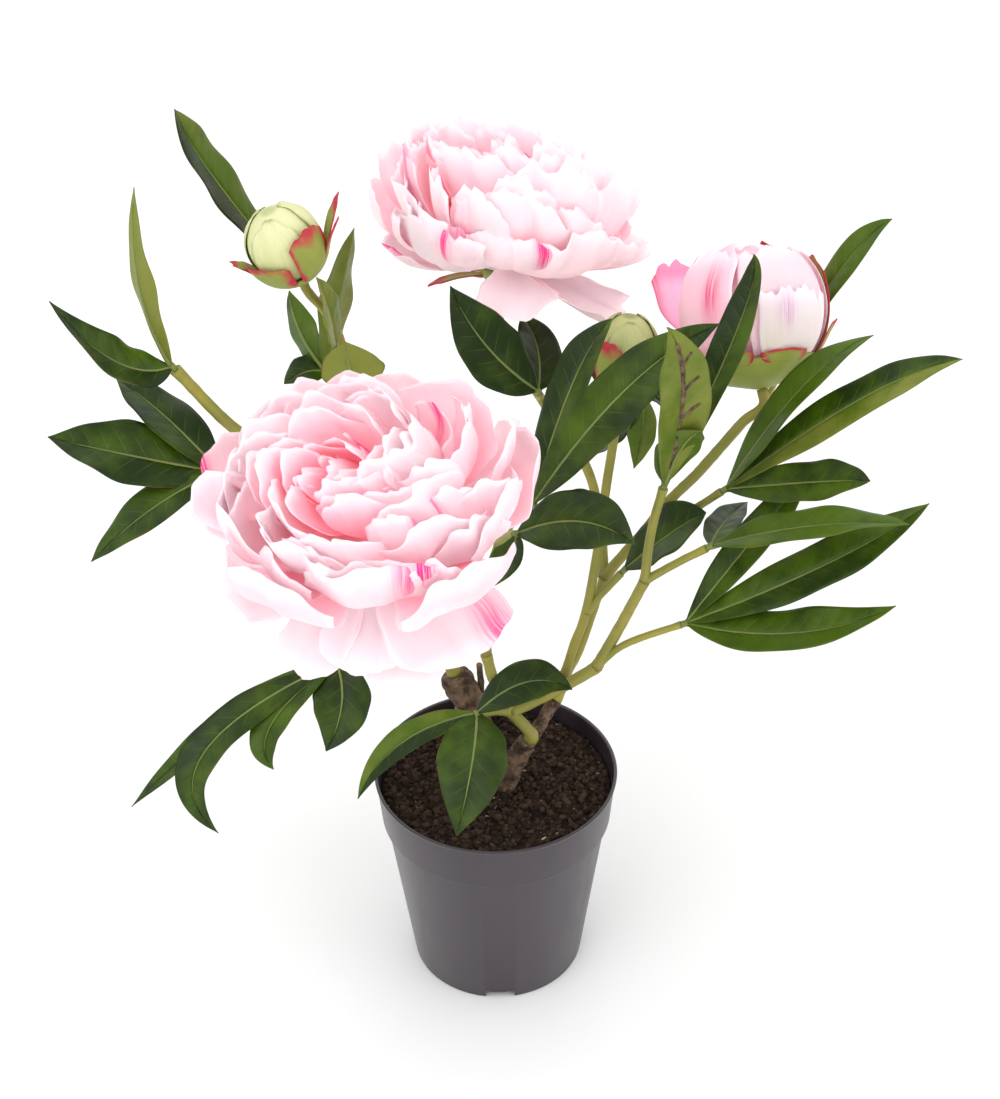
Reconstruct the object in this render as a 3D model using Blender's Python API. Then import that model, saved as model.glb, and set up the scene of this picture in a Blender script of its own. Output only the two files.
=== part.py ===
"""A potted peony with two open blooms, a half-open bloom, two buds and dark divided leaves.

Everything below is in millimetres until a mesh is made, in metres. The origin is the centre of the
pot's underside, +Z is up, -Y is the front and +X is the right-hand side seen from the front.
"""

import math

import bpy
import numpy as np

MM = 0.001
GAP = 0.3
BLADE = 0.8
PETAL = 0.8

# The pot, each pair a radius and a height
POT_TURNS = 24
POT_OUTSIDE = [(45.5, 0.0), (58.2, 95.0), (60.2, 95.6), (62.6, 121.0), (63.4, 122.0), (63.4, 123.0)]
POT_INSIDE = [(61.6, 123.0), (61.0, 118.0), (57.9, 96.0), (45.2, 7.0)]
POT_UNDERSIDE = [(10.0, 0.0), (10.0, 5.0), (42.0, 5.0), (42.0, 0.0)]
FOOT_NOTCH_WIDTH = 15.5
FOOT_NOTCH_HEIGHT = 5.0
FOOT_NOTCH_TURN = 1.0

# The soil
SOIL_HEIGHT = 113.0
SOIL_BOTTOM = 7.3
SOIL_TURNS = 24
SOIL_RINGS = [0.0, 22.0, 46.0]
SOIL_EDGE = 59.9
SOIL_FOOT = 44.8
SOIL_LUMPS = 1.3

# The woody bases, each a list of points with its thickness in radius
WOOD = {
    "wood_front": {
        "trunk": [(1.0, -2.8, 102.0), (5.0, -2.0, 114.0), (10.0, -1.0, 129.0), (15.0, -1.0, 140.0)],
        "left": [(15.0, -1.0, 140.0), (17.5, -4.0, 147.0)],
        "right": [(15.0, -1.0, 140.0), (21.0, 4.0, 146.0), (26.0, 8.0, 152.0), (31.0, 12.0, 159.0)],
    },
    "wood_left": {
        "trunk": [(-4.8, 26.8, 103.0), (-8.0, 28.0, 118.0), (-13.0, 30.0, 141.0), (-21.0, 32.0, 161.0)],
        "twig": [(-10.0, 29.0, 122.0), (-7.0, 33.0, 142.0), (-8.0, 34.0, 166.0)],
    },
}
WOOD_RADII = {
    "wood_front": {"trunk": 5.5, "left": 4.4, "right": 3.4},
    "wood_left": {"trunk": 8.2, "twig": 1.6},
}

# The green stems. A path that starts with the name of a wood piece is plugged into its end.
STEMS = {
    "stems_front": {
        "foot": (3.1, [("wood_front", "left"), (8.0, 0.0, 162.0)]),
        "low_leaves": (2.6, [(8.0, 0.0, 162.0), (1.0, -5.0, 167.0), (-7.0, -9.0, 169.0)]),
        "upright": (3.0, [(8.0, 0.0, 162.0), (5.0, 2.0, 169.0), (-1.0, 5.0, 181.0), (-4.0, 7.0, 194.0)]),
        "centre": (2.4, [(-4.0, 7.0, 194.0), (-3.0, 8.0, 219.0), (-3.0, 6.0, 242.0), (3.0, 0.0, 268.0)]),
        "centre_upper": (2.2, [(3.0, 0.0, 268.0), (11.0, -1.0, 284.0), (18.0, -3.0, 292.0)]),
        "centre_lower": (2.0, [(3.0, 0.0, 268.0), (8.0, -12.0, 282.0), (11.0, -24.0, 291.0)]),
        "bloom": (2.4, [(-4.0, 7.0, 194.0), (-7.0, -2.0, 226.0), (-11.0, -15.0, 254.0),
                        (-24.0, -38.0, 282.0), (-40.0, -66.0, 297.0),
                        (-49.1, -76.1, 307.1), (-49.5, -77.7, 316.0)]),
        "right": (3.2, [(8.0, 0.0, 162.0), (21.0, 4.0, 166.0), (39.0, 6.0, 176.0), (52.0, 8.0, 184.0)]),
        "right_main": (2.9, [(52.0, 8.0, 184.0), (63.0, 7.0, 210.0), (75.0, 5.0, 241.0)]),
        "twisted_leaf": (2.4, [(75.0, 5.0, 241.0), (76.0, 4.0, 260.0), (78.0, 2.0, 279.0),
                               (82.0, 1.0, 299.0)]),
        "middle_leaves": (2.1, [(75.0, 5.0, 241.0), (90.0, 3.0, 253.0), (104.0, 0.0, 264.0)]),
        "lower_leaves": (1.9, [(52.0, 8.0, 184.0), (62.0, 5.0, 198.0), (73.0, 1.0, 208.0),
                               (93.0, -5.0, 221.0)]),
    },
    "stems_back": {
        "foot": (2.9, [("wood_front", "right"), (36.0, 16.0, 172.0)]),
        "bud": (2.5, [(36.0, 16.0, 172.0), (41.0, 20.0, 189.0), (47.0, 26.0, 205.0),
                      (53.0, 37.0, 236.0), (57.0, 50.0, 262.0), (62.0, 64.0, 290.0),
                      (64.0, 70.0, 300.0), (64.8, 71.0, 308.0)]),
        "back_leaf": (2.1, [(47.0, 26.0, 205.0), (55.0, 29.0, 215.0), (65.0, 33.0, 225.0)]),
        "second": (2.6, [(36.0, 16.0, 172.0), (43.0, 25.0, 180.0), (49.0, 34.0, 193.0),
                         (57.0, 43.0, 215.0)]),
        "bloom": (2.6, [(57.0, 43.0, 215.0), (56.0, 56.0, 230.0), (52.0, 68.0, 254.0),
                        (43.0, 78.0, 272.0), (25.0, 92.0, 294.0), (9.0, 108.0, 315.0),
                        (3.0, 124.0, 331.0), (4.0, 126.0, 339.6)]),
        "back_middle": (1.9, [(25.0, 92.0, 294.0), (25.0, 86.0, 298.0), (24.0, 82.0, 303.0)]),
        "half_open": (2.8, [(57.0, 43.0, 215.0), (66.0, 46.0, 226.0), (78.0, 52.0, 238.0),
                            (91.0, 58.0, 253.0), (104.0, 64.0, 264.0), (117.0, 62.0, 284.0),
                            (126.0, 58.0, 300.0), (132.5, 56.5, 306.5), (135.3, 58.6, 309.8),
                            (134.5, 62.7, 315.4)]),
        "upper_leaves": (2.1, [(78.0, 52.0, 238.0), (98.0, 48.0, 251.0), (115.0, 44.0, 267.0)]),
        "bud_leaves": (1.6, [(62.0, 64.0, 290.0), (69.0, 72.0, 297.0), (75.0, 78.0, 301.0)]),
        "half_open_leaf": (1.6, [(117.0, 62.0, 284.0), (138.0, 80.0, 297.0), (152.0, 108.0, 306.0)]),
    },
    "stems_left": {
        "foot": (3.4, [("wood_left", "trunk"), (-34.0, 34.0, 183.0), (-45.0, 34.0, 209.0)]),
        "low_leaves": (2.3, [(-45.0, 34.0, 209.0), (-61.0, 24.0, 200.0), (-79.0, 15.0, 186.0)]),
        "main": (3.0, [(-45.0, 34.0, 209.0), (-57.0, 34.0, 234.0), (-69.0, 45.0, 264.0),
                       (-70.0, 60.0, 302.0)]),
        "middle_leaves": (2.3, [(-57.0, 34.0, 234.0), (-94.0, 20.0, 276.0), (-128.0, 6.0, 307.0)]),
        "upper_leaves": (3.0, [(-69.0, 45.0, 264.0), (-99.0, 34.0, 296.0), (-123.0, 25.0, 320.0),
                               (-147.0, 15.0, 360.0)]),
        "bud": (2.4, [(-70.0, 60.0, 302.0), (-72.0, 60.0, 344.0), (-79.0, 57.0, 366.0),
                      (-85.9, 52.0, 379.0), (-88.5, 51.5, 386.5)]),
        "bud_back_leaves": (1.8, [(-70.0, 60.0, 302.0), (-77.0, 82.0, 304.0), (-82.0, 94.0, 307.0)]),
        "bud_side_leaf": (1.6, [(-79.0, 57.0, 366.0), (-88.0, 72.0, 370.0), (-98.0, 84.0, 374.0)]),
        "bud_light_leaf": (1.5, [(-72.0, 60.0, 340.0), (-73.0, 54.0, 343.0), (-74.0, 50.0, 348.0)]),
        "above_front": (1.8, [(-70.0, 60.0, 302.0), (-65.0, 46.0, 314.0), (-63.0, 36.0, 328.0)]),
    },
}

# The leaves: the stem and path that carries each, then its leaflets as middle, tip, width, roll
LEAVES = {
    "leaf_bud_side": ("stems_left", "bud_side_leaf", [
        ((-130, 72, 433), (-142, 60, 471), 24, -52)]),
    "leaf_left_upper": ("stems_left", "upper_leaves", [
        ((-160, 22, 400), (-161, 40, 442), 18, 104),
        ((-172, 2, 373), (-198, 0, 406), 24, -24)]),
    "leaf_left_middle": ("stems_left", "middle_leaves", [
        ((-156, 25, 328), (-181, 45, 337), 28, 0),
        ((-172, 4, 320), (-209, 5, 330), 34, -26),
        ((-160, -18, 304), (-188, -35, 286), 24, -10)]),
    "leaf_bud_back": ("stems_left", "bud_back_leaves", [
        ((-75, 106, 349), (-67, 115, 380), 24, -86),
        ((-96, 107, 325), (-102, 120, 342), 22, 104),
        ((-94, 95, 309), (-105, 90, 305), 22, -12)]),
    "leaf_bud_light": ("stems_left", "bud_light_leaf", [
        ((-76, 47, 371), (-81, 44, 392), 20, -50)]),
    "leaf_above_front": ("stems_left", "above_front", [
        ((-67, 39, 345), (-69, 42, 358), 32, 128)]),
    "leaf_back_middle": ("stems_back", "back_middle", [
        ((-2, 72, 337), (-19, 75, 369), 32, -60),
        ((9, 92, 324), (-7, 102, 341), 18, 78),
        ((24, 100, 318), (16, 120, 328), 26, 26)]),
    "leaf_centre_upper": ("stems_front", "centre_upper", [
        ((62, -6, 359), (105, 2, 389), 27, 50),
        ((39, 22, 346), (58, 40, 370), 28, -14)]),
    "leaf_centre_lower": ("stems_front", "centre_lower", [
        ((40, -38, 308), (65, -55, 307), 34, 28),
        ((48, -9, 293), (65, -3, 275), 24, 18),
        ((6, -34, 281), (-9, -36, 269), 18, -10)]),
    "leaf_right_front": ("stems_front", "twisted_leaf", [
        ((89, -6, 327), (97, -15, 342), 22, -30),
        ((88, -14, 362), (80, -16, 398), 28, -144),
        ((116, 28, 370), (124, 45, 401), 19, -6)]),
    "leaf_small_bud": ("stems_back", "bud_leaves", [
        ((77, 78, 283), (73, 76, 260), 16, -18),
        ((64, 94, 278), (53, 105, 249), 26, -70),
        ((85, 81, 298), (93, 83, 288), 12, 10)]),
    "leaf_half_open": ("stems_back", "half_open_leaf", [
        ((179, 113, 358), (200, 112, 383), 18, 20)]),
    "leaf_right_upper": ("stems_back", "upper_leaves", [
        ((151, 40, 331), (185, 52, 352), 22, 10),
        ((179, 31, 330), (223, 24, 355), 23, 28),
        ((157, 8, 297), (179, -8, 308), 24, 34)]),
    "leaf_right_middle": ("stems_front", "middle_leaves", [
        ((151, -20, 291), (193, -38, 304), 27, 4),
        ((117, 34, 257), (130, 56, 252), 18, -6)]),
    "leaf_right_back": ("stems_back", "back_leaf", [
        ((90, 36, 248), (107, 36, 260), 36, 8)]),
    "leaf_right_lower": ("stems_front", "lower_leaves", [
        ((132, 18, 261), (157, 40, 278), 20, 14),
        ((164, -8, 261), (210, 0, 289), 26, 22),
        ((146, -29, 234), (191, -40, 258), 26, 20)]),
    "leaf_low_front": ("stems_front", "low_leaves", [
        ((16, -8, 188), (39, -12, 186), 24, 24),
        ((-12, -32, 154), (-20, -55, 127), 36, -8),
        ((-47, -22, 161), (-70, -35, 135), 18, -14)]),
    "leaf_low_left": ("stems_left", "low_leaves", [
        ((-140, 16, 143), (-196, 15, 86), 18, -32),
        ((-147, -24, 158), (-141, -45, 122), 22, -8),
        ((-113, -14, 168), (-112, -30, 151), 20, 0),
        ((-78, -4, 171), (-86, -20, 154), 30, -6)]),
}
LEAF_ROWS = 6
SHORT_LEAF = 52.0
SHORT_LEAF_ROWS = 4
LEAF_ACROSS = (-1.0, 0.0, 1.0)
LEAF_FOLD = 0.16
LEAF_WAVE = 0.03
PETIOLE = 4.0
PETIOLE_RADIUS = 1.7

# The open blooms: each ring as count, first turn, root, bend and tip (radius, height), width, cup
BLOOM_FRONT_RINGS = [
    (1, 196, (9, 3), (44, -10), (72, -6), 48, 0.20),
    (1, 236, (9, 2), (38, -12), (64, -26), 34, 0.14),
    (1, 260, (9, 3), (38, -6), (58, -22), 38, 0.14),
    (1, 278, (9, 1), (36, -12), (60, -34), 34, 0.10),
    (1, 302, (9, 4), (42, -2), (66, -20), 56, 0.14),
    (5, 18, (9, 6), (80, -2), (72, 42), 62, 0.24),
    (5, 54, (9, 8), (68, 6), (64, 50), 58, 0.26),
    (5, 24, (9, 11), (57, 14), (53, 53), 50, 0.28),
    (4, 60, (9, 14), (46, 20), (41, 57), 46, 0.30),
    (4, 15, (8, 17), (33, 26), (28, 58), 36, 0.34),
    (3, 55, (7, 20), (22, 32), (17, 53), 28, 0.38),
    (2, 20, (4, 22), (12, 34), (8, 47), 20, 0.40),
]
BLOOM_BACK_RINGS = [
    (1, 200, (9, 3), (40, -4), (64, 10), 36, 0.20),
    (1, 282, (9, 3), (34, -6), (46, -13), 40, 0.10),
    (1, 332, (9, 4), (44, -8), (72, -10), 44, 0.20),
    (1, 4, (9, 5), (48, -2), (76, 18), 46, 0.20),
    (5, 20, (9, 7), (68, -2), (64, 36), 56, 0.24),
    (5, 56, (9, 9), (58, 8), (57, 54), 52, 0.26),
    (4, 26, (9, 12), (47, 16), (47, 67), 50, 0.28),
    (4, 71, (8, 15), (36, 22), (35, 70), 40, 0.32),
    (3, 15, (8, 19), (24, 30), (21, 66), 34, 0.36),
    (2, 40, (4, 22), (12, 36), (9, 56), 22, 0.40),
]
BLOOM_CORE = [(10.5, 0.0), (14.0, 10.0), (11.0, 25.0)]
CORE_TURNS = 8
PETAL_ROWS = 3
SMALL_PETAL_ROWS = 2
WIDE_PETAL = 46.0
PETAL_ACROSS = (-1.0, -0.36, 0.36, 1.0)
CALYX_HEIGHT = 10.0
CALYX_RADIUS = 10.0
FRONT_SEPALS = [(-150, 24, 13), (-60, 20, 14), (30, 22, 14), (120, 20, 13)]
BACK_SEPALS = [(-172, 36, 9), (-60, 20, 14), (30, 22, 14), (120, 20, 13)]
SEPAL_ROWS = 2

# A sepal that reaches this latitude has one row more; all lie this far out from the ball
LONG_SEPAL = 25
SEPAL_OUT = 2.5

# The width of a petal's foot and of a sepal's, as a share of its full width
PETAL_FOOT = 0.16
SEPAL_FOOT = 0.7

# The half-open bloom, a globe of wrapped petals: count, first turn, inset, top latitude, width
GLOBE = (36.5, 37.0)
GLOBE_RINGS = [
    (2, 30, 0.0, 54, 50),
    (2, 120, 1.8, 56, 54),
    (2, 75, 4.6, 62, 46),
    (2, 165, 7.0, 66, 44),
]
GLOBE_CORE = 20.0
OPEN_PETAL = (132, (13, 20), (50, 30), (49, 73), 42, 0.16)
HALF_OPEN_SEPALS = [(20, 36, 20, 4.0), (350, -14, 14, 3.0), (56, 60, 14, 1.0), (235, -34, 26, 0.5),
                    (290, -36, 26, 0.5), (180, -4, 12, 4.0), (205, -30, 12, 8.0), (130, -30, 22, 0.5)]

# The buds: the ball's radius across and along, then the wrapped petals as turn, top latitude
BUD_LEFT = (18.2, 19.2)
BUD_SMALL = (16.5, 20.5)
BUD_WRAPS = [(30, 76), (150, 72), (270, 68)]
WRAP_LIMIT = 0.8
CUP = 2.6
CUP_FLOOR = 1.7
CUP_LOW = -66
CUP_TOP = -42

# Sepals against a ball, as turn, top latitude, width, flare at the end
BUD_LEFT_SEPALS = [(232, 0, 34, 0.5), (318, 26, 22, 0.5), (22, 16, 9, 14.0), (350, 12, 9, 11.0),
                   (100, 10, 24, 1.0), (185, 0, 8, 7.0)]
BUD_SMALL_SEPALS = [(238, 28, 16, 0.5), (330, 2, 16, 0.5), (60, 10, 16, 0.5), (165, -6, 16, 1.0)]

# Plain colours, as red, green and blue from 0 to 1, with roughness
COLOURS = {
    "pot": ((0.055, 0.055, 0.060), 0.45),
    "soil": ((0.035, 0.022, 0.016), 0.95),
    "wood": ((0.130, 0.085, 0.055), 0.85),
    "stem": ((0.380, 0.360, 0.120), 0.60),
    "leaf": ((0.045, 0.110, 0.025), 0.60),
    "calyx": ((0.280, 0.330, 0.090), 0.65),
    "petal": ((0.900, 0.600, 0.680), 0.75),
    "petal_half_open": ((0.900, 0.560, 0.680), 0.75),
    "bud_left": ((0.740, 0.780, 0.560), 0.70),
    "bud_small": ((0.380, 0.400, 0.160), 0.70),
}


# Geometry helpers


def unit(vector):
    return np.asarray(vector, float) / np.linalg.norm(vector)


def turned(vector, axis, degrees):
    """The vector turned about a unit axis."""
    angle = math.radians(degrees)
    kept = axis * np.dot(axis, vector) * (1 - math.cos(angle))
    return vector * math.cos(angle) + np.cross(axis, vector) * math.sin(angle) + kept


def square_to(direction):
    """Two unit vectors at right angles to a direction and to each other."""
    guide = (0, 0, 1) if abs(direction[2]) < 0.9 else (0, -1, 0)
    first = unit(np.cross(guide, direction))
    return first, np.cross(direction, first)


def signed_volume(points, faces):
    total = 0.0
    for face in faces:
        for a, b in zip(face[1:], face[2:]):
            total += np.dot(points[face[0]], np.cross(points[a], points[b]))
    return total


def facing_out(points, faces):
    """The faces, turned over if they face inwards."""
    points = np.asarray(points, float)
    if signed_volume(points - points.mean(axis=0), faces) < 0:
        faces = [face[::-1] for face in faces]
    return points, faces


def tube(path, radii, sides):
    """A closed round bar along a path of points."""
    path = np.asarray(path, float)
    steps = np.diff(path, axis=0)
    steps /= np.linalg.norm(steps, axis=1)[:, None]
    points = []
    across = square_to(steps[0])[0]
    for index, centre in enumerate(path):
        before = steps[max(index - 1, 0)]
        after = steps[min(index, len(steps) - 1)]
        along = unit(before + after)
        across = unit(across - along * np.dot(across, along))
        over = np.cross(along, across)
        widen = 1.0 / max(0.6, np.dot(along, after))
        for turn in range(sides):
            angle = 2 * math.pi * turn / sides
            out = across * math.cos(angle) + over * math.sin(angle) * widen
            points.append(centre + out * radii[index])
    faces = [list(range(sides))[::-1]]
    for row in range(len(path) - 1):
        for turn in range(sides):
            a = row * sides + turn
            b = row * sides + (turn + 1) % sides
            faces.append([a, b, b + sides, a + sides])
    faces.append([(len(path) - 1) * sides + turn for turn in range(sides)])
    return facing_out(points, faces)


def revolved(profile, turns, frame=None):
    """A solid of revolution from (radius, height) pairs, from one end of the axis to the other."""
    points = []
    rows = []
    for radius, height in profile:
        if radius < 1e-6:
            rows.append([len(points)] * turns)
            points.append((0.0, 0.0, height))
            continue
        rows.append(list(range(len(points), len(points) + turns)))
        for turn in range(turns):
            angle = 2 * math.pi * turn / turns
            points.append((radius * math.cos(angle), radius * math.sin(angle), height))
    faces = []
    for low, high in zip(rows, rows[1:]):
        for turn in range(turns):
            after = (turn + 1) % turns
            ring = [low[turn], low[after], high[after], high[turn]]
            faces.append([corner for at, corner in enumerate(ring) if corner not in ring[:at]])
    if rows[0][0] != rows[0][1]:
        faces.append(rows[0][::-1])
    if rows[-1][0] != rows[-1][1]:
        faces.append(rows[-1])
    points = np.asarray(points, float)
    if frame is not None:
        points = placed(points, frame)
    return facing_out(points, faces)


def slab(grid, thickness):
    """A closed blade about a grid of points, both faces split into the same triangles."""
    rows, columns = grid.shape[:2]
    along = np.gradient(grid, axis=0)
    across = np.gradient(grid, axis=1)
    normal = np.cross(along, across)
    normal /= np.linalg.norm(normal, axis=2)[:, :, None]
    top = (grid + normal * thickness / 2).reshape(-1, 3)
    bottom = (grid - normal * thickness / 2).reshape(-1, 3)
    under = rows * columns
    faces = []
    for row in range(rows - 1):
        for column in range(columns - 1):
            a = row * columns + column
            b, c, d = a + 1, a + columns + 1, a + columns
            pair = [[a, b, c], [a, c, d]] if column < (columns - 1) / 2 else [[a, b, d], [b, c, d]]
            for face in pair:
                faces.append(face)
                faces.append([corner + under for corner in face[::-1]])
    rim = list(range(columns))
    rim += [row * columns + columns - 1 for row in range(1, rows)]
    rim += [(rows - 1) * columns + column for column in range(columns - 2, -1, -1)]
    rim += [row * columns for row in range(rows - 2, 0, -1)]
    for a, b in zip(rim, rim[1:] + rim[:1]):
        faces.append([b, a, a + under])
        faces.append([b, a + under, b + under])
    return facing_out(np.concatenate([top, bottom]), faces)


def frame_at(base, axis):
    """A place and three directions, the third along the axis."""
    axis = unit(axis)
    sideways = unit(np.array([1.0, 0.0, 0.0]) - axis * axis[0])
    return np.asarray(base, float), sideways, np.cross(axis, sideways), axis


def placed(points, frame):
    base, first, second, third = frame
    points = np.asarray(points, float)
    return base + points[..., :1] * first + points[..., 1:2] * second + points[..., 2:3] * third


# Leaves


def leaf_outline(along):
    """Half the width at a share of the length, 1 at the widest."""
    return (along ** 0.9) * ((1 - along) ** 0.95) / 0.2776


def leaflet(root, middle, tip, width, roll):
    """A folded, waved leaf blade on a curve from root through middle to tip."""
    root, middle, tip = (np.asarray(point, float) for point in (root, middle, tip))
    bend = 2 * middle - (root + tip) / 2
    length = np.linalg.norm(tip - root)
    rows = LEAF_ROWS if length > SHORT_LEAF else SHORT_LEAF_ROWS
    along = (tip - root) / length
    upward = unit(np.array([0.0, 0.0, 1.0]) - along * along[2])
    normal = turned(upward, along, roll)
    grid = np.zeros((rows + 1, len(LEAF_ACROSS), 3))
    for row in range(rows + 1):
        share = row / rows
        centre = root * (1 - share) ** 2 + bend * 2 * share * (1 - share) + tip * share ** 2
        slope = unit((bend - root) * (1 - share) + (tip - bend) * share)
        facing = unit(normal - slope * np.dot(normal, slope))
        sideways = np.cross(slope, facing)
        half = max(width / 2 * leaf_outline(share), 1.1 - 0.4 * share)
        for column, across in enumerate(LEAF_ACROSS):
            fold = abs(across) * half * math.sin(LEAF_FOLD)
            wave = LEAF_WAVE * width * across * abs(across) * math.sin(5.0 * math.pi * share + length)
            out = across * half * math.cos(LEAF_FOLD)
            grid[row, column] = centre + sideways * out + facing * (fold + wave * 4 * share * (1 - share))
    return slab(grid, BLADE)


def plugged(path, length):
    """The first points of a piece that goes on from the end of a path, a small gap away."""
    end = np.asarray(path[-1], float)
    direction = unit(end - np.asarray(path[-2], float))
    return [end + direction * GAP, end + direction * length]


def leaf(name):
    stem, path, leaflets = LEAVES[name]
    start, joint = plugged(stem_path(stem, path), PETIOLE)
    pieces = [tube([start, joint], [PETIOLE_RADIUS, PETIOLE_RADIUS], 6)]
    root = start + (joint - start) * 0.6
    for middle, tip, width, roll in leaflets:
        pieces.append(leaflet(root, middle, tip, width, roll))
    return fused(name, pieces, "leaf")


# Stems and wood


def stem_path(stem, path):
    points = STEMS[stem][path][1]
    if isinstance(points[0][0], str):
        wood, branch = points[0]
        return plugged(WOOD[wood][branch], 5.0) + [np.asarray(point, float) for point in points[1:]]
    return [np.asarray(point, float) for point in points]


def stems(name):
    pieces = []
    for path, (radius, _) in STEMS[name].items():
        points = stem_path(name, path)
        pieces.append(tube(points, [radius] * len(points), 6))
    return fused(name, pieces, "stem")


def wood(name):
    pieces = []
    for branch, path in WOOD[name].items():
        radius = WOOD_RADII[name][branch]
        pieces.append(tube(path, [radius] * len(path), 10))
    return fused(name, pieces, "wood")


# Blooms and buds


def petal_spine(root, bend, tip, share):
    """A point of a petal's midline and the direction square to it, as (radius, height)."""
    root, bend, tip = (np.asarray(point, float) for point in (root, bend, tip))
    place = root * (1 - share) ** 2 + bend * 2 * share * (1 - share) + tip * share ** 2
    slope = (bend - root) * (1 - share) + (tip - bend) * share
    slope /= np.linalg.norm(slope)
    return place, np.array([-slope[1], slope[0]])


def petal_width(share, foot=PETAL_FOOT):
    """The share of its full width that a petal has at a share of its length."""
    return foot + (1 - foot) * math.sin(math.pi / 2 * min(1.0, share / 0.7))


def petal(frame, turn, root, bend, tip, width, cup, number, rows=PETAL_ROWS):
    """A cupped petal with a rounded, ruffled end."""
    grid = np.zeros((rows + 1, len(PETAL_ACROSS), 3))
    angle = math.radians(turn)
    out = np.array([math.cos(angle), math.sin(angle), 0.0])
    round_axis = np.array([-math.sin(angle), math.cos(angle), 0.0])
    upright = np.array([0.0, 0.0, 1.0])
    for row in range(rows + 1):
        for column, across in enumerate(PETAL_ACROSS):
            share = row / rows * (1 - 0.16 * across ** 2 * row / rows)
            place, square = petal_spine(root, bend, tip, share)
            half = width / 2 * petal_width(share)
            ruffle = 0.05 * width * share ** 2 * math.sin(across * 4.0 + number * 2.4)
            lift = cup * half * across ** 2 + ruffle
            spot = out * (place[0] + square[0] * lift) + upright * (place[1] + square[1] * lift)
            grid[row, column] = spot + round_axis * across * half
    return slab(placed(grid, frame), PETAL)


def bloom(name, rings, frame):
    pieces = [revolved(BLOOM_CORE, CORE_TURNS, frame)]
    number = 0
    for count, first, root, bend, tip, width, cup in rings:
        for step in range(count):
            turn = first + 360.0 * step / count
            rows = PETAL_ROWS if width > WIDE_PETAL else SMALL_PETAL_ROWS
            pieces.append(petal(frame, turn, root, bend, tip, width, cup, number, rows))
            number += 1
    return fused(name, pieces, "petal")


def calyx(name, frame, sepals):
    """The green cup under a bloom, with its sepals."""
    cup = [(4.0, 0.0), (7.0, 3.0), (CALYX_RADIUS, CALYX_HEIGHT - 2), (CALYX_RADIUS, CALYX_HEIGHT)]
    pieces = [revolved(cup, CORE_TURNS, frame)]
    for number, (turn, length, width) in enumerate(sepals):
        pieces.append(petal(frame, turn, (4, 5), (16, 7), (length, -2), width, 0.1, number, SEPAL_ROWS))
    return fused(name, pieces, "calyx")


def wrapped(frame, radii, centre, turn, reach, width, inset, flare=0.0, rows=PETAL_ROWS,
            foot=PETAL_FOOT):
    """A petal that lies round a ball, from a low to a high latitude, and flares at its end."""
    grid = np.zeros((rows + 1, len(PETAL_ACROSS), 3))
    for row in range(rows + 1):
        for column, across in enumerate(PETAL_ACROSS):
            share = row / rows * (1 - 0.14 * across ** 2 * row / rows)
            latitude = math.radians(reach[0] + (reach[1] - reach[0]) * share)
            out = flare * share ** 4 - inset
            radius = (radii[0] + out) * math.cos(latitude)
            height = (radii[1] + out) * math.sin(latitude)
            half = width / 2 * petal_width(share, foot)
            angle = math.radians(turn) + min(WRAP_LIMIT, half / max(radius, 1.0)) * across
            grid[row, column] = (radius * math.cos(angle), radius * math.sin(angle), centre + height)
    return slab(placed(grid, frame), PETAL)


def ball(radii, centre, frame):
    """A closed ball, rounder or longer along its axis."""
    profile = [(0.0, centre - radii[1])]
    for latitude in range(-60, 61, 30):
        angle = math.radians(latitude)
        profile.append((radii[0] * math.cos(angle), centre + radii[1] * math.sin(angle)))
    return revolved(profile + [(0.0, centre + radii[1])], CORE_TURNS, frame)


def cup(radii, centre, turns, frame):
    """A thin cup round the lower part of a ball, flat underneath."""
    outside = [(0.0, 0.0), (3.6, 0.0)]
    inside = [(0.0, CUP_FLOOR)]
    for latitude in (CUP_LOW, CUP_TOP):
        angle = math.radians(latitude)
        outside.append(((radii[0] + 2.8) * math.cos(angle), centre + (radii[1] + 2.8) * math.sin(angle)))
    for latitude in (CUP_LOW, (CUP_LOW + CUP_TOP) / 2, CUP_TOP):
        angle = math.radians(latitude)
        inside.append(((radii[0] + 1.5) * math.cos(angle), centre + (radii[1] + 1.5) * math.sin(angle)))
    return revolved(outside + inside[::-1], turns, frame)


def cup_and_sepals(name, radii, turns, sepals, frame):
    """The green cup under a closed or half-open flower with the sepals that lie against it."""
    centre = radii[1] + CUP
    pieces = [cup(radii, centre, turns, frame)]
    for turn, high, width, flare in sepals:
        reach = (CUP_TOP - 5, high)
        rows = SEPAL_ROWS if high < LONG_SEPAL else SEPAL_ROWS + 1
        pieces.append(wrapped(frame, radii, centre, turn, reach, width, -SEPAL_OUT, flare, rows, SEPAL_FOOT))
    return fused(name, pieces, "calyx")


def half_open_bloom(name, frame):
    """A globe of broad petals, one of them turned out."""
    centre = GLOBE[1] + CUP
    pieces = [ball((GLOBE_CORE, centre - CUP_FLOOR - GAP), centre, frame)]
    for count, first, inset, high, width in GLOBE_RINGS:
        for step in range(count):
            turn = first + 360.0 * step / count
            pieces.append(wrapped(frame, GLOBE, centre, turn, (-86, high), width, inset))
    turn, root, bend, tip, width, cupped = OPEN_PETAL
    pieces.append(petal(frame, turn, root, bend, tip, width, cupped, 1))
    return fused(name, pieces, "petal_half_open")


def bud(name, radii, frame, colour):
    """A closed bud of petals wrapped round it."""
    centre = radii[1] + CUP
    pieces = [ball((radii[0] - 5.0, radii[1] - 0.6), centre, frame)]
    for turn, high in BUD_WRAPS:
        pieces.append(wrapped(frame, radii, centre, turn, (-86, high), 2.2 * radii[0], 0.0))
    return fused(name, pieces, colour)


# Objects


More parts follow.
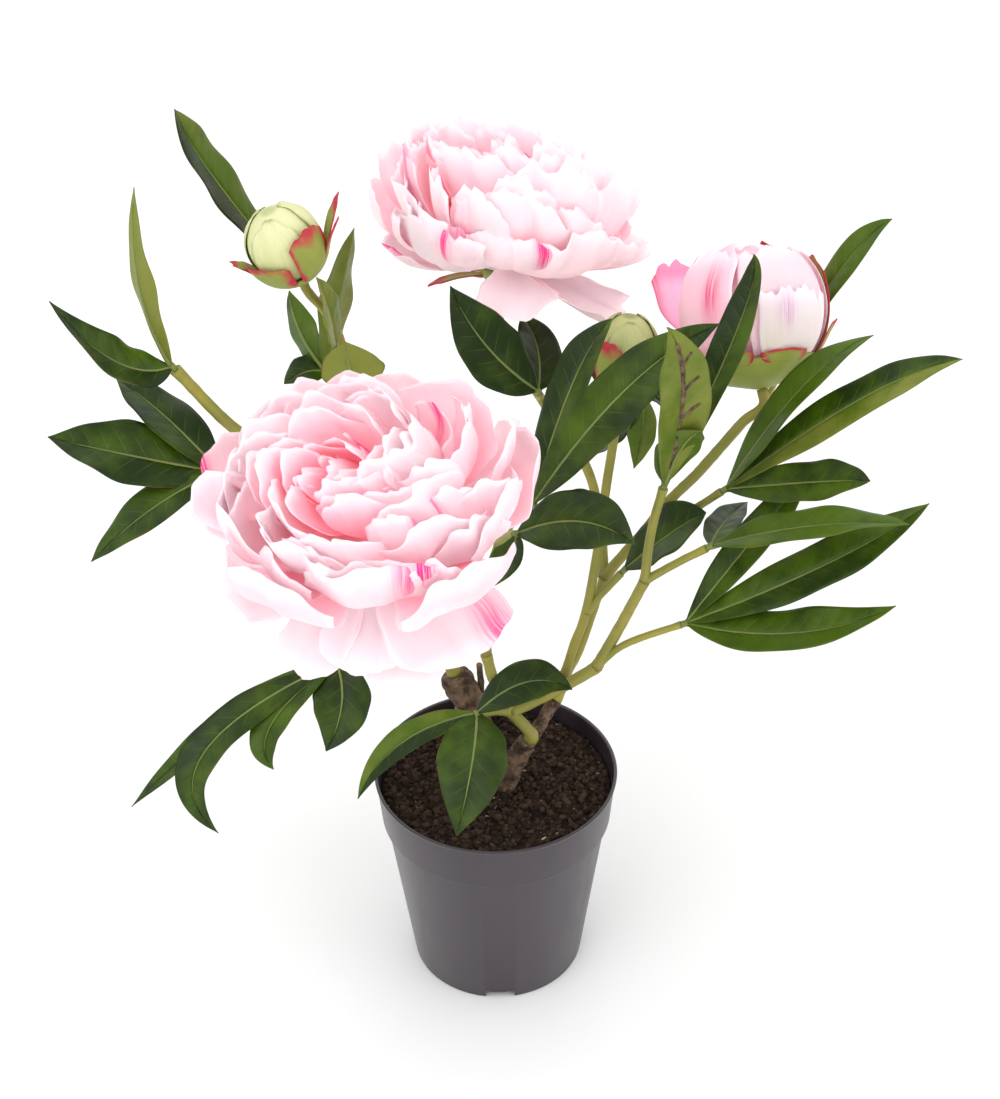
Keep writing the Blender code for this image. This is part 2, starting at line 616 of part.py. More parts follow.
def principled(name):
    colour, roughness = COLOURS[name]
    material = bpy.data.materials.new(name)
    material.use_nodes = True
    shader = material.node_tree.nodes["Principled BSDF"]
    shader.inputs["Base Color"].default_value = (*colour, 1.0)
    shader.inputs["Roughness"].default_value = roughness
    shader.inputs["Metallic"].default_value = 0.0
    material.diffuse_color = (*colour, 1.0)
    return material


def mesh_object(name, shape):
    points, faces = shape
    mesh = bpy.data.meshes.new(name)
    mesh.from_pydata([tuple(point * MM) for point in points], [], faces)
    mesh.update()
    return bpy.data.objects.new(name, mesh)


def largest_body(mesh):
    """Removes every part of a mesh but its largest, so no loose scrap or hollow is left."""
    parent = list(range(len(mesh.vertices)))

    def top(vertex):
        while parent[vertex] != vertex:
            parent[vertex] = parent[parent[vertex]]
            vertex = parent[vertex]
        return vertex

    for edge in mesh.edges:
        parent[top(edge.vertices[0])] = top(edge.vertices[1])
    points = np.array([vertex.co[:] for vertex in mesh.vertices])
    bodies = {}
    for polygon in mesh.polygons:
        bodies.setdefault(top(polygon.vertices[0]), []).append(list(polygon.vertices))
    kept = max(bodies.values(), key=lambda faces: signed_volume(points, faces))
    used = sorted({corner for face in kept for corner in face})
    number = {corner: index for index, corner in enumerate(used)}
    cleaned = bpy.data.meshes.new(mesh.name)
    kept = [[number[corner] for corner in face] for face in kept]
    cleaned.from_pydata([tuple(points[corner]) for corner in used], [], kept)
    return cleaned


def fused(name, pieces, colour):
    """One body from pieces that cross each other."""
    body = mesh_object(name, pieces[0])
    bpy.context.scene.collection.objects.link(body)
    if len(pieces) > 1:
        helpers = bpy.data.collections.new(name + "_pieces")
        bpy.context.scene.collection.children.link(helpers)
        for index, piece in enumerate(pieces[1:]):
            helpers.objects.link(mesh_object(f"{name}_{index}", piece))
        union = body.modifiers.new("Fuse", "BOOLEAN")
        union.operation = "UNION"
        union.operand_type = "COLLECTION"
        union.collection = helpers
        union.solver = "MANIFOLD"
        seen = body.evaluated_get(bpy.context.evaluated_depsgraph_get())
        united = bpy.data.meshes.new_from_object(seen)
        body.modifiers.clear()
        body.data = largest_body(united)
        for helper in list(helpers.objects):
            bpy.data.objects.remove(helper)
        bpy.data.collections.remove(helpers)
    body.data.materials.clear()
    body.data.materials.append(MATERIALS[colour])
    return body


def cutter(name, shape):
    """A helper that is only cut with, drawn as wire."""
    helper = mesh_object(name, shape)
    helper.hide_render = True
    helper.display_type = "WIRE"
    bpy.context.scene.collection.objects.link(helper)
    return helper


def cut(body, helper):
    hole = body.modifiers.new("Cut", "BOOLEAN")
    hole.operation = "DIFFERENCE"
    hole.object = helper
    hole.solver = "EXACT"


# Pot and soil


def box(centre, size):
    corners = [(x, y, z) for x in (-0.5, 0.5) for y in (-0.5, 0.5) for z in (-0.5, 0.5)]
    points = np.asarray(centre, float) + np.array(corners) * np.asarray(size, float)
    faces = [[0, 1, 3, 2], [4, 6, 7, 5], [0, 4, 5, 1], [2, 3, 7, 6], [0, 2, 6, 4], [1, 5, 7, 3]]
    return facing_out(points, faces)


def pot():
    """The pot's wall, floor, foot ring with four notches, and a flat disc under the middle."""
    profile = [(0.0, 0.0)] + POT_UNDERSIDE + POT_OUTSIDE + POT_INSIDE + [(0.0, 7.0)]
    body = fused("pot", [revolved(profile, POT_TURNS)], "pot")
    for quarter in range(4):
        angle = math.radians(-90 + FOOT_NOTCH_TURN + 90 * quarter)
        points, faces = box((44.0, 0.0, 0.0), (10.0, FOOT_NOTCH_WIDTH, 2 * FOOT_NOTCH_HEIGHT - 0.6))
        points = [turned(point, np.array([0.0, 0.0, 1.0]), math.degrees(angle)) for point in points]
        cut(body, cutter(f"foot_notch_{quarter}", (points, faces)))


def soil():
    """The soil, uneven on top, with a plain hole for each woody base."""
    random = np.random.default_rng(7)
    profile = [(0.0, SOIL_BOTTOM), (SOIL_FOOT, SOIL_BOTTOM), (SOIL_EDGE, SOIL_HEIGHT - 1.0)]
    profile += [(radius, SOIL_HEIGHT) for radius in SOIL_RINGS[::-1]]
    points, faces = revolved(profile, SOIL_TURNS)
    for point in points:
        if point[2] > SOIL_HEIGHT - 1.5 and math.hypot(point[0], point[1]) < SOIL_EDGE - 2:
            point[2] += random.uniform(-SOIL_LUMPS, SOIL_LUMPS)
    body = fused("soil", [(points, faces)], "soil")
    for name in WOOD:
        trunk = [np.asarray(point, float) for point in WOOD[name]["trunk"][:2]]
        along = unit(trunk[1] - trunk[0])
        radius = WOOD_RADII[name]["trunk"] + GAP + 0.1
        path = [trunk[0] - along * GAP, trunk[1] + along * 10.0]
        cut(body, cutter(f"{name}_hole", tube(path, [radius, radius], 16)))


def end_frame(stem, path, above=0.0):
    """The frame of a piece that sits on the end of a stem."""
    points = stem_path(stem, path)
    axis = unit(points[-1] - points[-2])
    return frame_at(points[-1] + axis * (GAP + above), axis)


def blooms():
    for name, rings, stem, sepals in (("bloom_front", BLOOM_FRONT_RINGS, "stems_front", FRONT_SEPALS),
                                      ("bloom_back", BLOOM_BACK_RINGS, "stems_back", BACK_SEPALS)):
        calyx(name + "_calyx", end_frame(stem, "bloom"), sepals)
        bloom(name + "_petals", rings, end_frame(stem, "bloom", CALYX_HEIGHT + GAP))


def clear_scene():
    for item in list(bpy.data.objects):
        bpy.data.objects.remove(item, do_unlink=True)


clear_scene()
MATERIALS = {name: principled(name) for name in COLOURS}
pot()
soil()
for wood_name in WOOD:
    wood(wood_name)
for stem_name in STEMS:
    stems(stem_name)
for leaf_name in LEAVES:
    leaf(leaf_name)
blooms()
half_open_bloom("bloom_half_open_petals", end_frame("stems_back", "half_open"))
cup_and_sepals("bloom_half_open_calyx", GLOBE, 12, HALF_OPEN_SEPALS, end_frame("stems_back", "half_open"))
bud("bud_left_petals", BUD_LEFT, end_frame("stems_left", "bud"), "bud_left")
cup_and_sepals("bud_left_sepals", BUD_LEFT, 9, BUD_LEFT_SEPALS, end_frame("stems_left", "bud"))
bud("bud_small_petals", BUD_SMALL, end_frame("stems_back", "bud"), "bud_small")
cup_and_sepals("bud_small_sepals", BUD_SMALL, 9, BUD_SMALL_SEPALS, end_frame("stems_back", "bud"))
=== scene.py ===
"""The looks of the potted peony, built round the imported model.

Every blade, stem and cup is made again here on the same lines as its solid, with many more faces.
Lengths are in millimetres until a mesh is made, in metres. +Z is up and -Y is the front.
"""

import math

import bpy
import numpy as np
from mathutils import Matrix


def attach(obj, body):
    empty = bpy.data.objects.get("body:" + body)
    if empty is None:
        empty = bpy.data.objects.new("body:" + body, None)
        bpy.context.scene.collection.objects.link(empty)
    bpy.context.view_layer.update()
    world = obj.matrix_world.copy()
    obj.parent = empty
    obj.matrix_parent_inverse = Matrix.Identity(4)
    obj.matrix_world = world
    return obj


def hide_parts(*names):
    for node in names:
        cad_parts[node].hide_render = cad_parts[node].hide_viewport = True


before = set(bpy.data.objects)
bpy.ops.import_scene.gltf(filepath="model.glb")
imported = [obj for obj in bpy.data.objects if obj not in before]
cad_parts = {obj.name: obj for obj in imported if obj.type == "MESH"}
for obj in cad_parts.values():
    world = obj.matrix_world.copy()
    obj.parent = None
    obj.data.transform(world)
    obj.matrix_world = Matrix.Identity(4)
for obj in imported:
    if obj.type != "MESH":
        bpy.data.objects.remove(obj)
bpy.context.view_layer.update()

MM = 0.001
TINY = 1e-9
TURN = 2 * math.pi
UP = np.array([0.0, 0.0, 1.0])
WAVES = 7
# The gap between pieces that join, the same as between their solids
GAP = 0.3

# The pot, each pair a radius and a height
POT_TURNS = 144
POT_UNDERSIDE = [(10, 0), (10, 5), (42, 5), (42, 0)]
POT_OUTSIDE = [(45.5, 0), (58.2, 95), (60.2, 95.6), (62.6, 121), (63.4, 122), (63.4, 123)]
POT_INSIDE = [(61.6, 123), (61, 118), (57.9, 96), (45.2, 7)]
POT_FLOOR = 7.0
POT_EDGE = 1.0
# The notches in the foot ring: the size of what cuts them, its radius, the first one's turn
NOTCH_SIZE = (10, 15.5, 9.4)
NOTCH_RADIUS = 44.0
NOTCH_TURN = -89.0
# Edges that turn more than this are shown sharp
POT_SHARP = 40.0

# The soil and what lies in it
SOIL_HEIGHT = 113.0
SOIL_BOTTOM = 7.3
SOIL_EDGE = 59.9
SOIL_FOOT = 44.8
SOIL_RINGS = 46
SOIL_TURNS = 150
# How far from the pot its unevenness fades
SOIL_FADE = 6.0
# Its unevenness: how high, how wide, seed
SOIL_LUMPS = [(1.3, 26.0, 11), (0.8, 9.0, 12), (0.5, 4.0, 13)]
# Its crumbs and pale flecks: count, least and largest size, longest stretch, seed
CRUMBS = (2600, (0.6, 2.2), 1.6, 21)
FLECKS = (90, (0.3, 0.8), 3.0, 22)
CRUMB_CORNERS = np.array([
    (0, 0, 1), (0.9, 0, 0.4), (0.3, 0.85, 0.4), (-0.7, 0.5, 0.4), (-0.7, -0.5, 0.4),
    (0.3, -0.85, 0.4), (0.7, 0.5, -0.4), (-0.3, 0.85, -0.4), (-0.9, 0, -0.4),
    (-0.3, -0.85, -0.4), (0.7, -0.5, -0.4), (0, 0, -1)])
CRUMB_UNEVEN = 0.3
CRUMB_HEIGHT = 0.8
# Between its top and bottom corners, five go round above the middle and five below it
AROUND = [(place, place % 5 + 1) for place in range(1, 6)]
CRUMB_FACES = [(0, one, two) for one, two in AROUND]
CRUMB_FACES += [(one, one + 5, two) for one, two in AROUND]
CRUMB_FACES += [(two, one + 5, two + 5) for one, two in AROUND]
CRUMB_FACES += [(11, two + 5, one + 5) for one, two in AROUND]

# The woody bases, each a radius with a list of points
WOOD = {
    "wood_front": {
        "trunk": (5.5, [(1, -2.8, 102), (5, -2, 114), (10, -1, 129), (15, -1, 140)]),
        "left": (4.4, [(15, -1, 140), (17.5, -4, 147)]),
        "right": (3.4, [(15, -1, 140), (21, 4, 146), (26, 8, 152), (31, 12, 159)]),
    },
    "wood_left": {
        "trunk": (8.2, [(-4.8, 26.8, 103), (-8, 28, 118), (-13, 30, 141), (-21, 32, 161)]),
        "twig": (1.6, [(-10, 29, 122), (-7, 33, 142), (-8, 34, 166)]),
    },
}
WOOD_PLUG = 5.0
WOOD_STEP = 0.9
WOOD_LUMPS = 0.11

# The green stems. A path that starts with the name of a wood piece is plugged into its end.
STEMS = {
    "stems_front": {
        "foot": (3.1, [("wood_front", "left"), (8, 0, 162)]),
        "low_leaves": (2.6, [(8, 0, 162), (1, -5, 167), (-7, -9, 169)]),
        "upright": (3, [(8, 0, 162), (5, 2, 169), (-1, 5, 181), (-4, 7, 194)]),
        "centre": (2.4, [(-4, 7, 194), (-3, 8, 219), (-3, 6, 242), (3, 0, 268)]),
        "centre_upper": (2.2, [(3, 0, 268), (11, -1, 284), (18, -3, 292)]),
        "centre_lower": (2, [(3, 0, 268), (8, -12, 282), (11, -24, 291)]),
        "bloom": (2.4, [(-4, 7, 194), (-7, -2, 226), (-11, -15, 254), (-24, -38, 282),
                        (-40, -66, 297), (-49.1, -76.1, 307.1), (-49.5, -77.7, 316)]),
        "right": (3.2, [(8, 0, 162), (21, 4, 166), (39, 6, 176), (52, 8, 184)]),
        "right_main": (2.9, [(52, 8, 184), (63, 7, 210), (75, 5, 241)]),
        "twisted_leaf": (2.4, [(75, 5, 241), (76, 4, 260), (78, 2, 279), (82, 1, 299)]),
        "middle_leaves": (2.1, [(75, 5, 241), (90, 3, 253), (104, 0, 264)]),
        "lower_leaves": (1.9, [(52, 8, 184), (62, 5, 198), (73, 1, 208), (93, -5, 221)]),
    },
    "stems_back": {
        "foot": (2.9, [("wood_front", "right"), (36, 16, 172)]),
        "bud": (2.5, [(36, 16, 172), (41, 20, 189), (47, 26, 205), (53, 37, 236), (57, 50, 262),
                      (62, 64, 290), (64, 70, 300), (64.8, 71, 308)]),
        "back_leaf": (2.1, [(47, 26, 205), (55, 29, 215), (65, 33, 225)]),
        "second": (2.6, [(36, 16, 172), (43, 25, 180), (49, 34, 193), (57, 43, 215)]),
        "bloom": (2.6, [(57, 43, 215), (56, 56, 230), (52, 68, 254), (43, 78, 272), (25, 92, 294),
                        (9, 108, 315), (3, 124, 331), (4, 126, 339.6)]),
        "back_middle": (1.9, [(25, 92, 294), (25, 86, 298), (24, 82, 303)]),
        "half_open": (2.8, [(57, 43, 215), (66, 46, 226), (78, 52, 238), (91, 58, 253),
                            (104, 64, 264), (117, 62, 284), (126, 58, 300), (132.5, 56.5, 306.5),
                            (135.3, 58.6, 309.8), (134.5, 62.7, 315.4)]),
        "upper_leaves": (2.1, [(78, 52, 238), (98, 48, 251), (115, 44, 267)]),
        "bud_leaves": (1.6, [(62, 64, 290), (69, 72, 297), (75, 78, 301)]),
        "half_open_leaf": (1.6, [(117, 62, 284), (138, 80, 297), (152, 108, 306)]),
    },
    "stems_left": {
        "foot": (3.4, [("wood_left", "trunk"), (-34, 34, 183), (-45, 34, 209)]),
        "low_leaves": (2.3, [(-45, 34, 209), (-61, 24, 200), (-79, 15, 186)]),
        "main": (3, [(-45, 34, 209), (-57, 34, 234), (-69, 45, 264), (-70, 60, 302)]),
        "middle_leaves": (2.3, [(-57, 34, 234), (-94, 20, 276), (-128, 6, 307)]),
        "upper_leaves": (3, [(-69, 45, 264), (-99, 34, 296), (-123, 25, 320), (-147, 15, 360)]),
        "bud": (2.4, [(-70, 60, 302), (-72, 60, 344), (-79, 57, 366), (-85.9, 52, 379),
                      (-88.5, 51.5, 386.5)]),
        "bud_back_leaves": (1.8, [(-70, 60, 302), (-77, 82, 304), (-82, 94, 307)]),
        "bud_side_leaf": (1.6, [(-79, 57, 366), (-88, 72, 370), (-98, 84, 374)]),
        "bud_light_leaf": (1.5, [(-72, 60, 340), (-73, 54, 343), (-74, 50, 348)]),
        "above_front": (1.8, [(-70, 60, 302), (-65, 46, 314), (-63, 36, 328)]),
    },
}
STEM_STEP = 2.2
STEM_LUMPS = 0.035
LUMP_SIZE = 7.0

# The leaves: the stem and path that carries each, then its leaflets as middle, tip, width, roll,
# and the shades of its two halves, where 0 is dark green, 0.5 fresh green and 1 olive. A half's
# shade is partly the leaf's own colour and partly painted light and shade, one half of a fold lit,
# one shaded.
LEAVES = {
    "leaf_bud_side": ("stems_left", "bud_side_leaf", [
        ((-130, 72, 433), (-142, 60, 471), 24, -52, (0.05, 0.55))]),
    "leaf_left_upper": ("stems_left", "upper_leaves", [
        ((-160, 22, 400), (-161, 40, 442), 18, 104, (0.8, 0.9)),
        ((-172, 2, 373), (-198, 0, 406), 24, -24, (0.1, 0.3))]),
    "leaf_left_middle": ("stems_left", "middle_leaves", [
        ((-156, 25, 328), (-181, 45, 337), 28, 0, (0.15, 0.1)),
        ((-172, 4, 320), (-209, 5, 330), 34, -26, (0.1, 0.2)),
        ((-160, -18, 304), (-188, -35, 286), 24, -10, (0.15, 0.25))]),
    "leaf_bud_back": ("stems_left", "bud_back_leaves", [
        ((-75, 106, 349), (-67, 115, 380), 24, -86, (0.6, 0.5)),
        ((-96, 107, 325), (-102, 120, 342), 22, 104, (0.2, 0.1)),
        ((-94, 95, 309), (-105, 90, 305), 22, -12, (0.2, 0.2))]),
    "leaf_bud_light": ("stems_left", "bud_light_leaf", [
        ((-76, 47, 371), (-81, 44, 392), 20, -50, (1, 0.8))]),
    "leaf_above_front": ("stems_left", "above_front", [
        ((-67, 39, 345), (-69, 42, 358), 32, 128, (0.75, 0.8))]),
    "leaf_back_middle": ("stems_back", "back_middle", [
        ((-2, 72, 337), (-19, 75, 369), 32, -60, (0.05, 0.1)),
        ((9, 92, 324), (-7, 102, 341), 18, 78, (0.5, 0.3)),
        ((24, 100, 318), (16, 120, 328), 26, 26, (0.05, 0.1))]),
    "leaf_centre_upper": ("stems_front", "centre_upper", [
        ((62, -6, 359), (105, 2, 389), 27, 50, (0.25, 0.15)),
        ((39, 22, 346), (58, 40, 370), 28, -14, (0.1, 0.3))]),
    "leaf_centre_lower": ("stems_front", "centre_lower", [
        ((40, -38, 308), (65, -55, 307), 34, 28, (0.2, 0.15)),
        ((48, -9, 293), (65, -3, 275), 24, 18, (0.1, 0.2)),
        ((6, -34, 281), (-9, -36, 269), 18, -10, (0.2, 0.3))]),
    "leaf_right_front": ("stems_front", "twisted_leaf", [
        ((89, -6, 327), (97, -15, 342), 22, -30, (0.2, 0.35)),
        ((88, -14, 362), (80, -16, 398), 28, -144, (0.75, 0.8)),
        ((116, 28, 370), (124, 45, 401), 19, -6, (0.05, 0.3))]),
    "leaf_small_bud": ("stems_back", "bud_leaves", [
        ((77, 78, 283), (73, 76, 260), 16, -18, (0.7, 0.6)),
        ((64, 94, 278), (53, 105, 249), 26, -70, (0.05, 0.1)),
        ((85, 81, 298), (93, 83, 288), 12, 10, (0.1, 0.1))]),
    "leaf_half_open": ("stems_back", "half_open_leaf", [
        ((179, 113, 358), (200, 112, 383), 18, 20, (0.6, 0.5))]),
    "leaf_right_upper": ("stems_back", "upper_leaves", [
        ((151, 40, 331), (185, 52, 352), 22, 10, (0.45, 0.4)),
        ((179, 31, 330), (223, 24, 355), 23, 28, (0.2, 0.85)),
        ((157, 8, 297), (179, -8, 308), 24, 34, (0.2, 0.3))]),
    "leaf_right_middle": ("stems_front", "middle_leaves", [
        ((151, -20, 291), (193, -38, 304), 27, 4, (0.45, 0.55)),
        ((117, 34, 257), (130, 56, 252), 18, -6, (0.1, 0.2))]),
    "leaf_right_back": ("stems_back", "back_leaf", [
        ((90, 36, 248), (107, 36, 260), 36, 8, (0.15, 0.2))]),
    "leaf_right_lower": ("stems_front", "lower_leaves", [
        ((132, 18, 261), (157, 40, 278), 20, 14, (0.2, 0.3)),
        ((164, -8, 261), (210, 0, 289), 26, 22, (0.35, 0.25)),
        ((146, -29, 234), (191, -40, 258), 26, 20, (0.35, 0.45))]),
    "leaf_low_front": ("stems_front", "low_leaves", [
        ((16, -8, 188), (39, -12, 186), 24, 24, (0.1, 0.15)),
        ((-12, -32, 154), (-20, -55, 127), 36, -8, (0.2, 0.2)),
        ((-47, -22, 161), (-70, -35, 135), 18, -14, (0.05, 0.6))]),
    "leaf_low_left": ("stems_left", "low_leaves", [
        ((-140, 16, 143), (-196, 15, 86), 18, -32, (0.2, 0.3)),
        ((-147, -24, 158), (-141, -45, 122), 22, -8, (0.2, 0.15)),
        ((-113, -14, 168), (-112, -30, 151), 20, 0, (0.3, 0.3)),
        ((-78, -4, 171), (-86, -20, 154), 30, -6, (0.15, 0.2))]),
}
LEAF_FOLD = 0.16
LEAF_WAVE = 0.03
LEAF_THICK = 0.55
LEAF_ROW_STEP = 1.6
LEAF_COLUMNS = 19
LEAF_VEINS = 5.0
VEIN_STEP = 9.0
LEAF_LOW = 0.85
LEAF_HIGH = 1.05
LEAF_FULL = 0.271
LEAF_RAGGED = 0.02
# How high the blade swells between its side veins, and the depth and width of the midrib's groove
VEIN_SWELL = 2.0
GROOVE = (0.7, 0.07)
RIB_RADIUS = 1.15
TWIG_LEAFLET = ("leaf_right_front", 1)
PETIOLE = 4.0

# The open blooms: each ring as count, first turn, root, bend and tip (radius, height), width, cup
FRONT_RINGS = [
    (1, 196, (9, 3), (44, -10), (72, -6), 48, 0.2),
    (1, 236, (9, 2), (38, -12), (64, -26), 34, 0.14),
    (1, 260, (9, 3), (38, -6), (58, -22), 38, 0.14),
    (1, 278, (9, 1), (36, -12), (60, -34), 34, 0.1),
    (1, 302, (9, 4), (42, -2), (66, -20), 56, 0.14),
    (5, 18, (9, 6), (80, -2), (72, 42), 62, 0.24),
    (5, 54, (9, 8), (68, 6), (64, 50), 58, 0.26),
    (5, 24, (9, 11), (57, 14), (53, 53), 50, 0.28),
    (4, 60, (9, 14), (46, 20), (41, 57), 46, 0.3),
    (4, 15, (8, 17), (33, 26), (28, 58), 36, 0.34),
    (3, 55, (7, 20), (22, 32), (17, 53), 28, 0.38),
    (2, 20, (4, 22), (12, 34), (8, 47), 20, 0.4),
]
BACK_RINGS = [
    (1, 200, (9, 3), (40, -4), (64, 10), 36, 0.2),
    (1, 282, (9, 3), (34, -6), (46, -13), 40, 0.1),
    (1, 332, (9, 4), (44, -8), (72, -10), 44, 0.2),
    (1, 4, (9, 5), (48, -2), (76, 18), 46, 0.2),
    (5, 20, (9, 7), (68, -2), (64, 36), 56, 0.24),
    (5, 56, (9, 9), (58, 8), (57, 54), 52, 0.26),
    (4, 26, (9, 12), (47, 16), (47, 67), 50, 0.28),
    (4, 71, (8, 15), (36, 22), (35, 70), 40, 0.32),
    (3, 15, (8, 19), (24, 30), (21, 66), 34, 0.36),
    (2, 40, (4, 22), (12, 36), (9, 56), 22, 0.4),
]

# Petals set one by one between the rings: turn, tip radius, tip height, width, cup
FRONT_SEEN = [
    (311, 32, 57, 42, 0.3), (292, 42, 54, 28, 0.22), (265, 48, 54, 40, 0.3),
    (287, 58, 49, 36, 0.26), (340, 49, 55, 30, 0.3), (349, 57, 52, 36, 0.28),
    (322, 62, 48, 40, 0.24), (300, 64, 46, 30, 0.24), (215, 44, 55, 28, 0.3),
    (238, 50, 53, 24, 0.3), (234, 66, 46, 30, 0.24), (253, 57, 49, 34, 0.28),
    (134, 21, 55, 28, 0.34), (103, 14, 51, 24, 0.36), (62, 19, 54, 18, 0.2),
    (220, 22, 51, 26, 0.34), (16, 34, 59, 36, 0.26), (347, 40, 57, 28, 0.3),
    (353, 28, 57, 34, 0.26), (333, 23, 54, 28, 0.34), (20, 25, 56, 32, 0.34), (28, 39, 58, 38, 0.3),
    (45, 53, 54, 36, 0.26), (26, 54, 53, 30, 0.28), (69, 30, 58, 30, 0.3), (59, 40, 57, 32, 0.3),
    (101, 38, 57, 34, 0.3), (14, 60, 51, 32, 0.26), (150, 38, 56, 32, 0.3), (180, 34, 55, 30, 0.3),
    (195, 56, 51, 34, 0.28), (172, 62, 50, 34, 0.26), (120, 54, 53, 36, 0.28),
    (85, 55, 53, 34, 0.28), (270, 22, 50, 24, 0.36), (0, 12, 47, 18, 0.4), (200, 9, 45, 16, 0.4),
    (80, 8, 46, 14, 0.4),
]
BACK_SEEN = [
    (223, 61, 40, 32, 0.28), (244, 66, 32, 28, 0.24), (254, 56, 52, 36, 0.28),
    (276, 50, 59, 34, 0.28), (270, 63, 36, 42, 0.22), (298, 57, 51, 36, 0.26),
    (313, 60, 44, 34, 0.26), (316, 47, 64, 30, 0.28), (324, 37, 68, 30, 0.3),
    (19, 18, 64, 26, 0.34), (125, 9, 57, 20, 0.38), (231, 52, 57, 30, 0.28),
    (215, 57, 50, 28, 0.26), (326, 66, 32, 34, 0.22), (280, 64, 36, 26, 0.24),
    (340, 46, 66, 30, 0.28), (216, 65, 33, 24, 0.24), (190, 44, 62, 30, 0.28),
    (165, 54, 56, 32, 0.26), (10, 52, 60, 32, 0.26), (60, 44, 66, 32, 0.28),
    (100, 52, 60, 32, 0.26), (135, 38, 68, 30, 0.3), (245, 34, 66, 28, 0.32),
    (290, 30, 68, 28, 0.32), (205, 26, 66, 24, 0.34), (340, 22, 64, 22, 0.36),
    (260, 14, 58, 18, 0.38), (80, 26, 68, 24, 0.34),
]

# Stained petals, by ring and step, as the place across and the strength. The petals set one by one
# count on from the rings.
FRONT_STAINS = {(4, 0): (0.7, 1), (5, 2): (0.4, 1.6), (6, 3): (0.6, 1), (16, 0): (-0.7, 1.5),
                (13, 0): (0.8, 1.6), (15, 0): (0.3, 1.4), (34, 0): (0.2, 1.4),
                (26, 0): (-0.4, 1.3)}
BACK_STAINS = {(0, 0): (0, 1.8), (4, 3): (0.5, 0.8), (6, 2): (0.6, 0.9), (14, 0): (0.8, 0.9),
               (24, 0): (0.5, 1.6), (11, 0): (-0.4, 1.5), (37, 0): (-0.8, 1.6),
               (36, 0): (0.6, 1.6)}

# The sepals of the open blooms: turn, length, width
FRONT_SEPALS = [(-150, 24, 13), (-60, 20, 14), (30, 22, 14), (120, 20, 13)]
BACK_SEPALS = [(-172, 36, 9), (-60, 20, 14), (30, 22, 14), (120, 20, 13)]

# Each open bloom's stem, rings, single petals, sepals, first seed, stains, lean and raggedness
BLOOMS = {
    "bloom_front": ("stems_front", FRONT_RINGS, FRONT_SEEN, FRONT_SEPALS, 0, FRONT_STAINS,
                    (-30, 2), 0.8),
    "bloom_back": ("stems_back", BACK_RINGS, BACK_SEEN, BACK_SEPALS, 100, BACK_STAINS,
                   (-24, 2), 1.3),
}
BLOOM_CORE = [(0, 0), (10.5, 0), (14, 10), (11, 25), (0, 27)]
CALYX_HEIGHT = 10.0
CALYX = [(0, 0), (4, 0), (7, 3), (10, 8), (10, 10), (0, 9)]
PETAL_FOOT = 0.16
PETAL_THICK = 0.4
PETAL_STEP = 1.7
# The end of a petal: how much its corners are rounded, and how deep and wide its notches are
END_ROUNDING = (0.15, 0.28)
END_NOTCH = (0.01, 0.055)
END_NOTCH_WIDTH = (0.07, 0.2)
# How strong each unevenness of a petal is, as a share of its width
SWAY = 0.05
CROSS_WAVES = 0.018
FRILL = 0.030
CREASE = 0.025
SWIRL = 0.018
PLEATS = 0.035
CURL = 0.8
SEPAL_FOOT = 0.7
SEPAL_OUT = 2.5
SEPAL_THICK = 0.8
# Petals whose tips are lower than this are the outermost, drooping ones
GUARD_TOP = 20.0
# Petals that reach past this share of the widest are the outer ones
OUTER = 0.8
# Those within this share of it lean with the heart of the bloom
LEANING = 0.92
# How far below the dome of the tips a petal is at its pinkest; this pink is partly its own and
# partly painted shade of the hollow
DEEPEST = 38.0
# How far the petals are turned aside at most
TWIST = 42.0

# The half-open bloom, a globe of wrapped petals: its radius across and along
GLOBE = (36.5, 37.0)
GLOBE_CORE = 20.0
GLOBE_CORE_TOP = 24.0
# The latitudes where the petals of a ball, the outer one and those of the heart start
WRAP_LOW = -86
OUTER_LOW = -70
HEART_LOW = 10
# Its petals: turn, inset, top latitude, width, how pink, stain (place across, along, strength)
GLOBE_WRAPS = [
    (30, 0, 54, 50, 0.1, (0.9, 0.8, 0.8)), (210, 0, 54, 50, 0.5, (0.5, 0.69, 1)),
    (120, 1.8, 56, 54, 0.1, (0, 0.8, 0)), (300, 1.8, 56, 54, 0.08, (0.97, 0.8, 1.3)),
    (75, 4.6, 62, 46, 0.4, (0, 0.9, 0)), (255, 4.6, 62, 46, 0.6, (0.3, 0.8, 0.6)),
    (165, 7, 66, 44, 0.45, (0, 0.9, 0)), (345, 7, 66, 44, 0.3, (-0.6, 0.9, 0.5)),
    (20, 9, 70, 36, 0.6, (0, 0.9, 0)), (110, 10.5, 70, 34, 0.6, (0, 0.9, 0)),
    (200, 9.8, 70, 36, 0.7, (0, 0.9, 0)), (290, 11, 72, 34, 0.7, (0, 0.9, 0)),
]
# The pale petal in front, and the short ones over the core: turn, inset, top latitude, width
GLOBE_OUTER = (299, -1.0, 8, 40)
GLOBE_HEART = [(150, 13.0, 82, 26), (230, 12.5, 84, 28), (310, 13.5, 80, 26), (30, 13.0, 84, 26),
               (90, 12.0, 80, 28), (200, 4.0, 78, 30), (250, 6.0, 82, 26), (340, 8.0, 80, 26)]
# The petal that has opened: turn, root, bend, tip, width, cup
OPEN_PETAL = (132, (13, 20), (50, 30), (49, 73), 42, 0.16)
# Its sepals: turn, top latitude, width, how far the tip stands out
HALF_OPEN_SEPALS = [
    (20, 36, 20, 4.0), (350, -14, 14, 3.0), (56, 60, 14, 1.0), (235, -34, 26, 0.5),
    (290, -36, 26, 0.5), (180, -4, 12, 4.0), (205, -30, 12, 8.0), (130, -30, 22, 0.5),
]

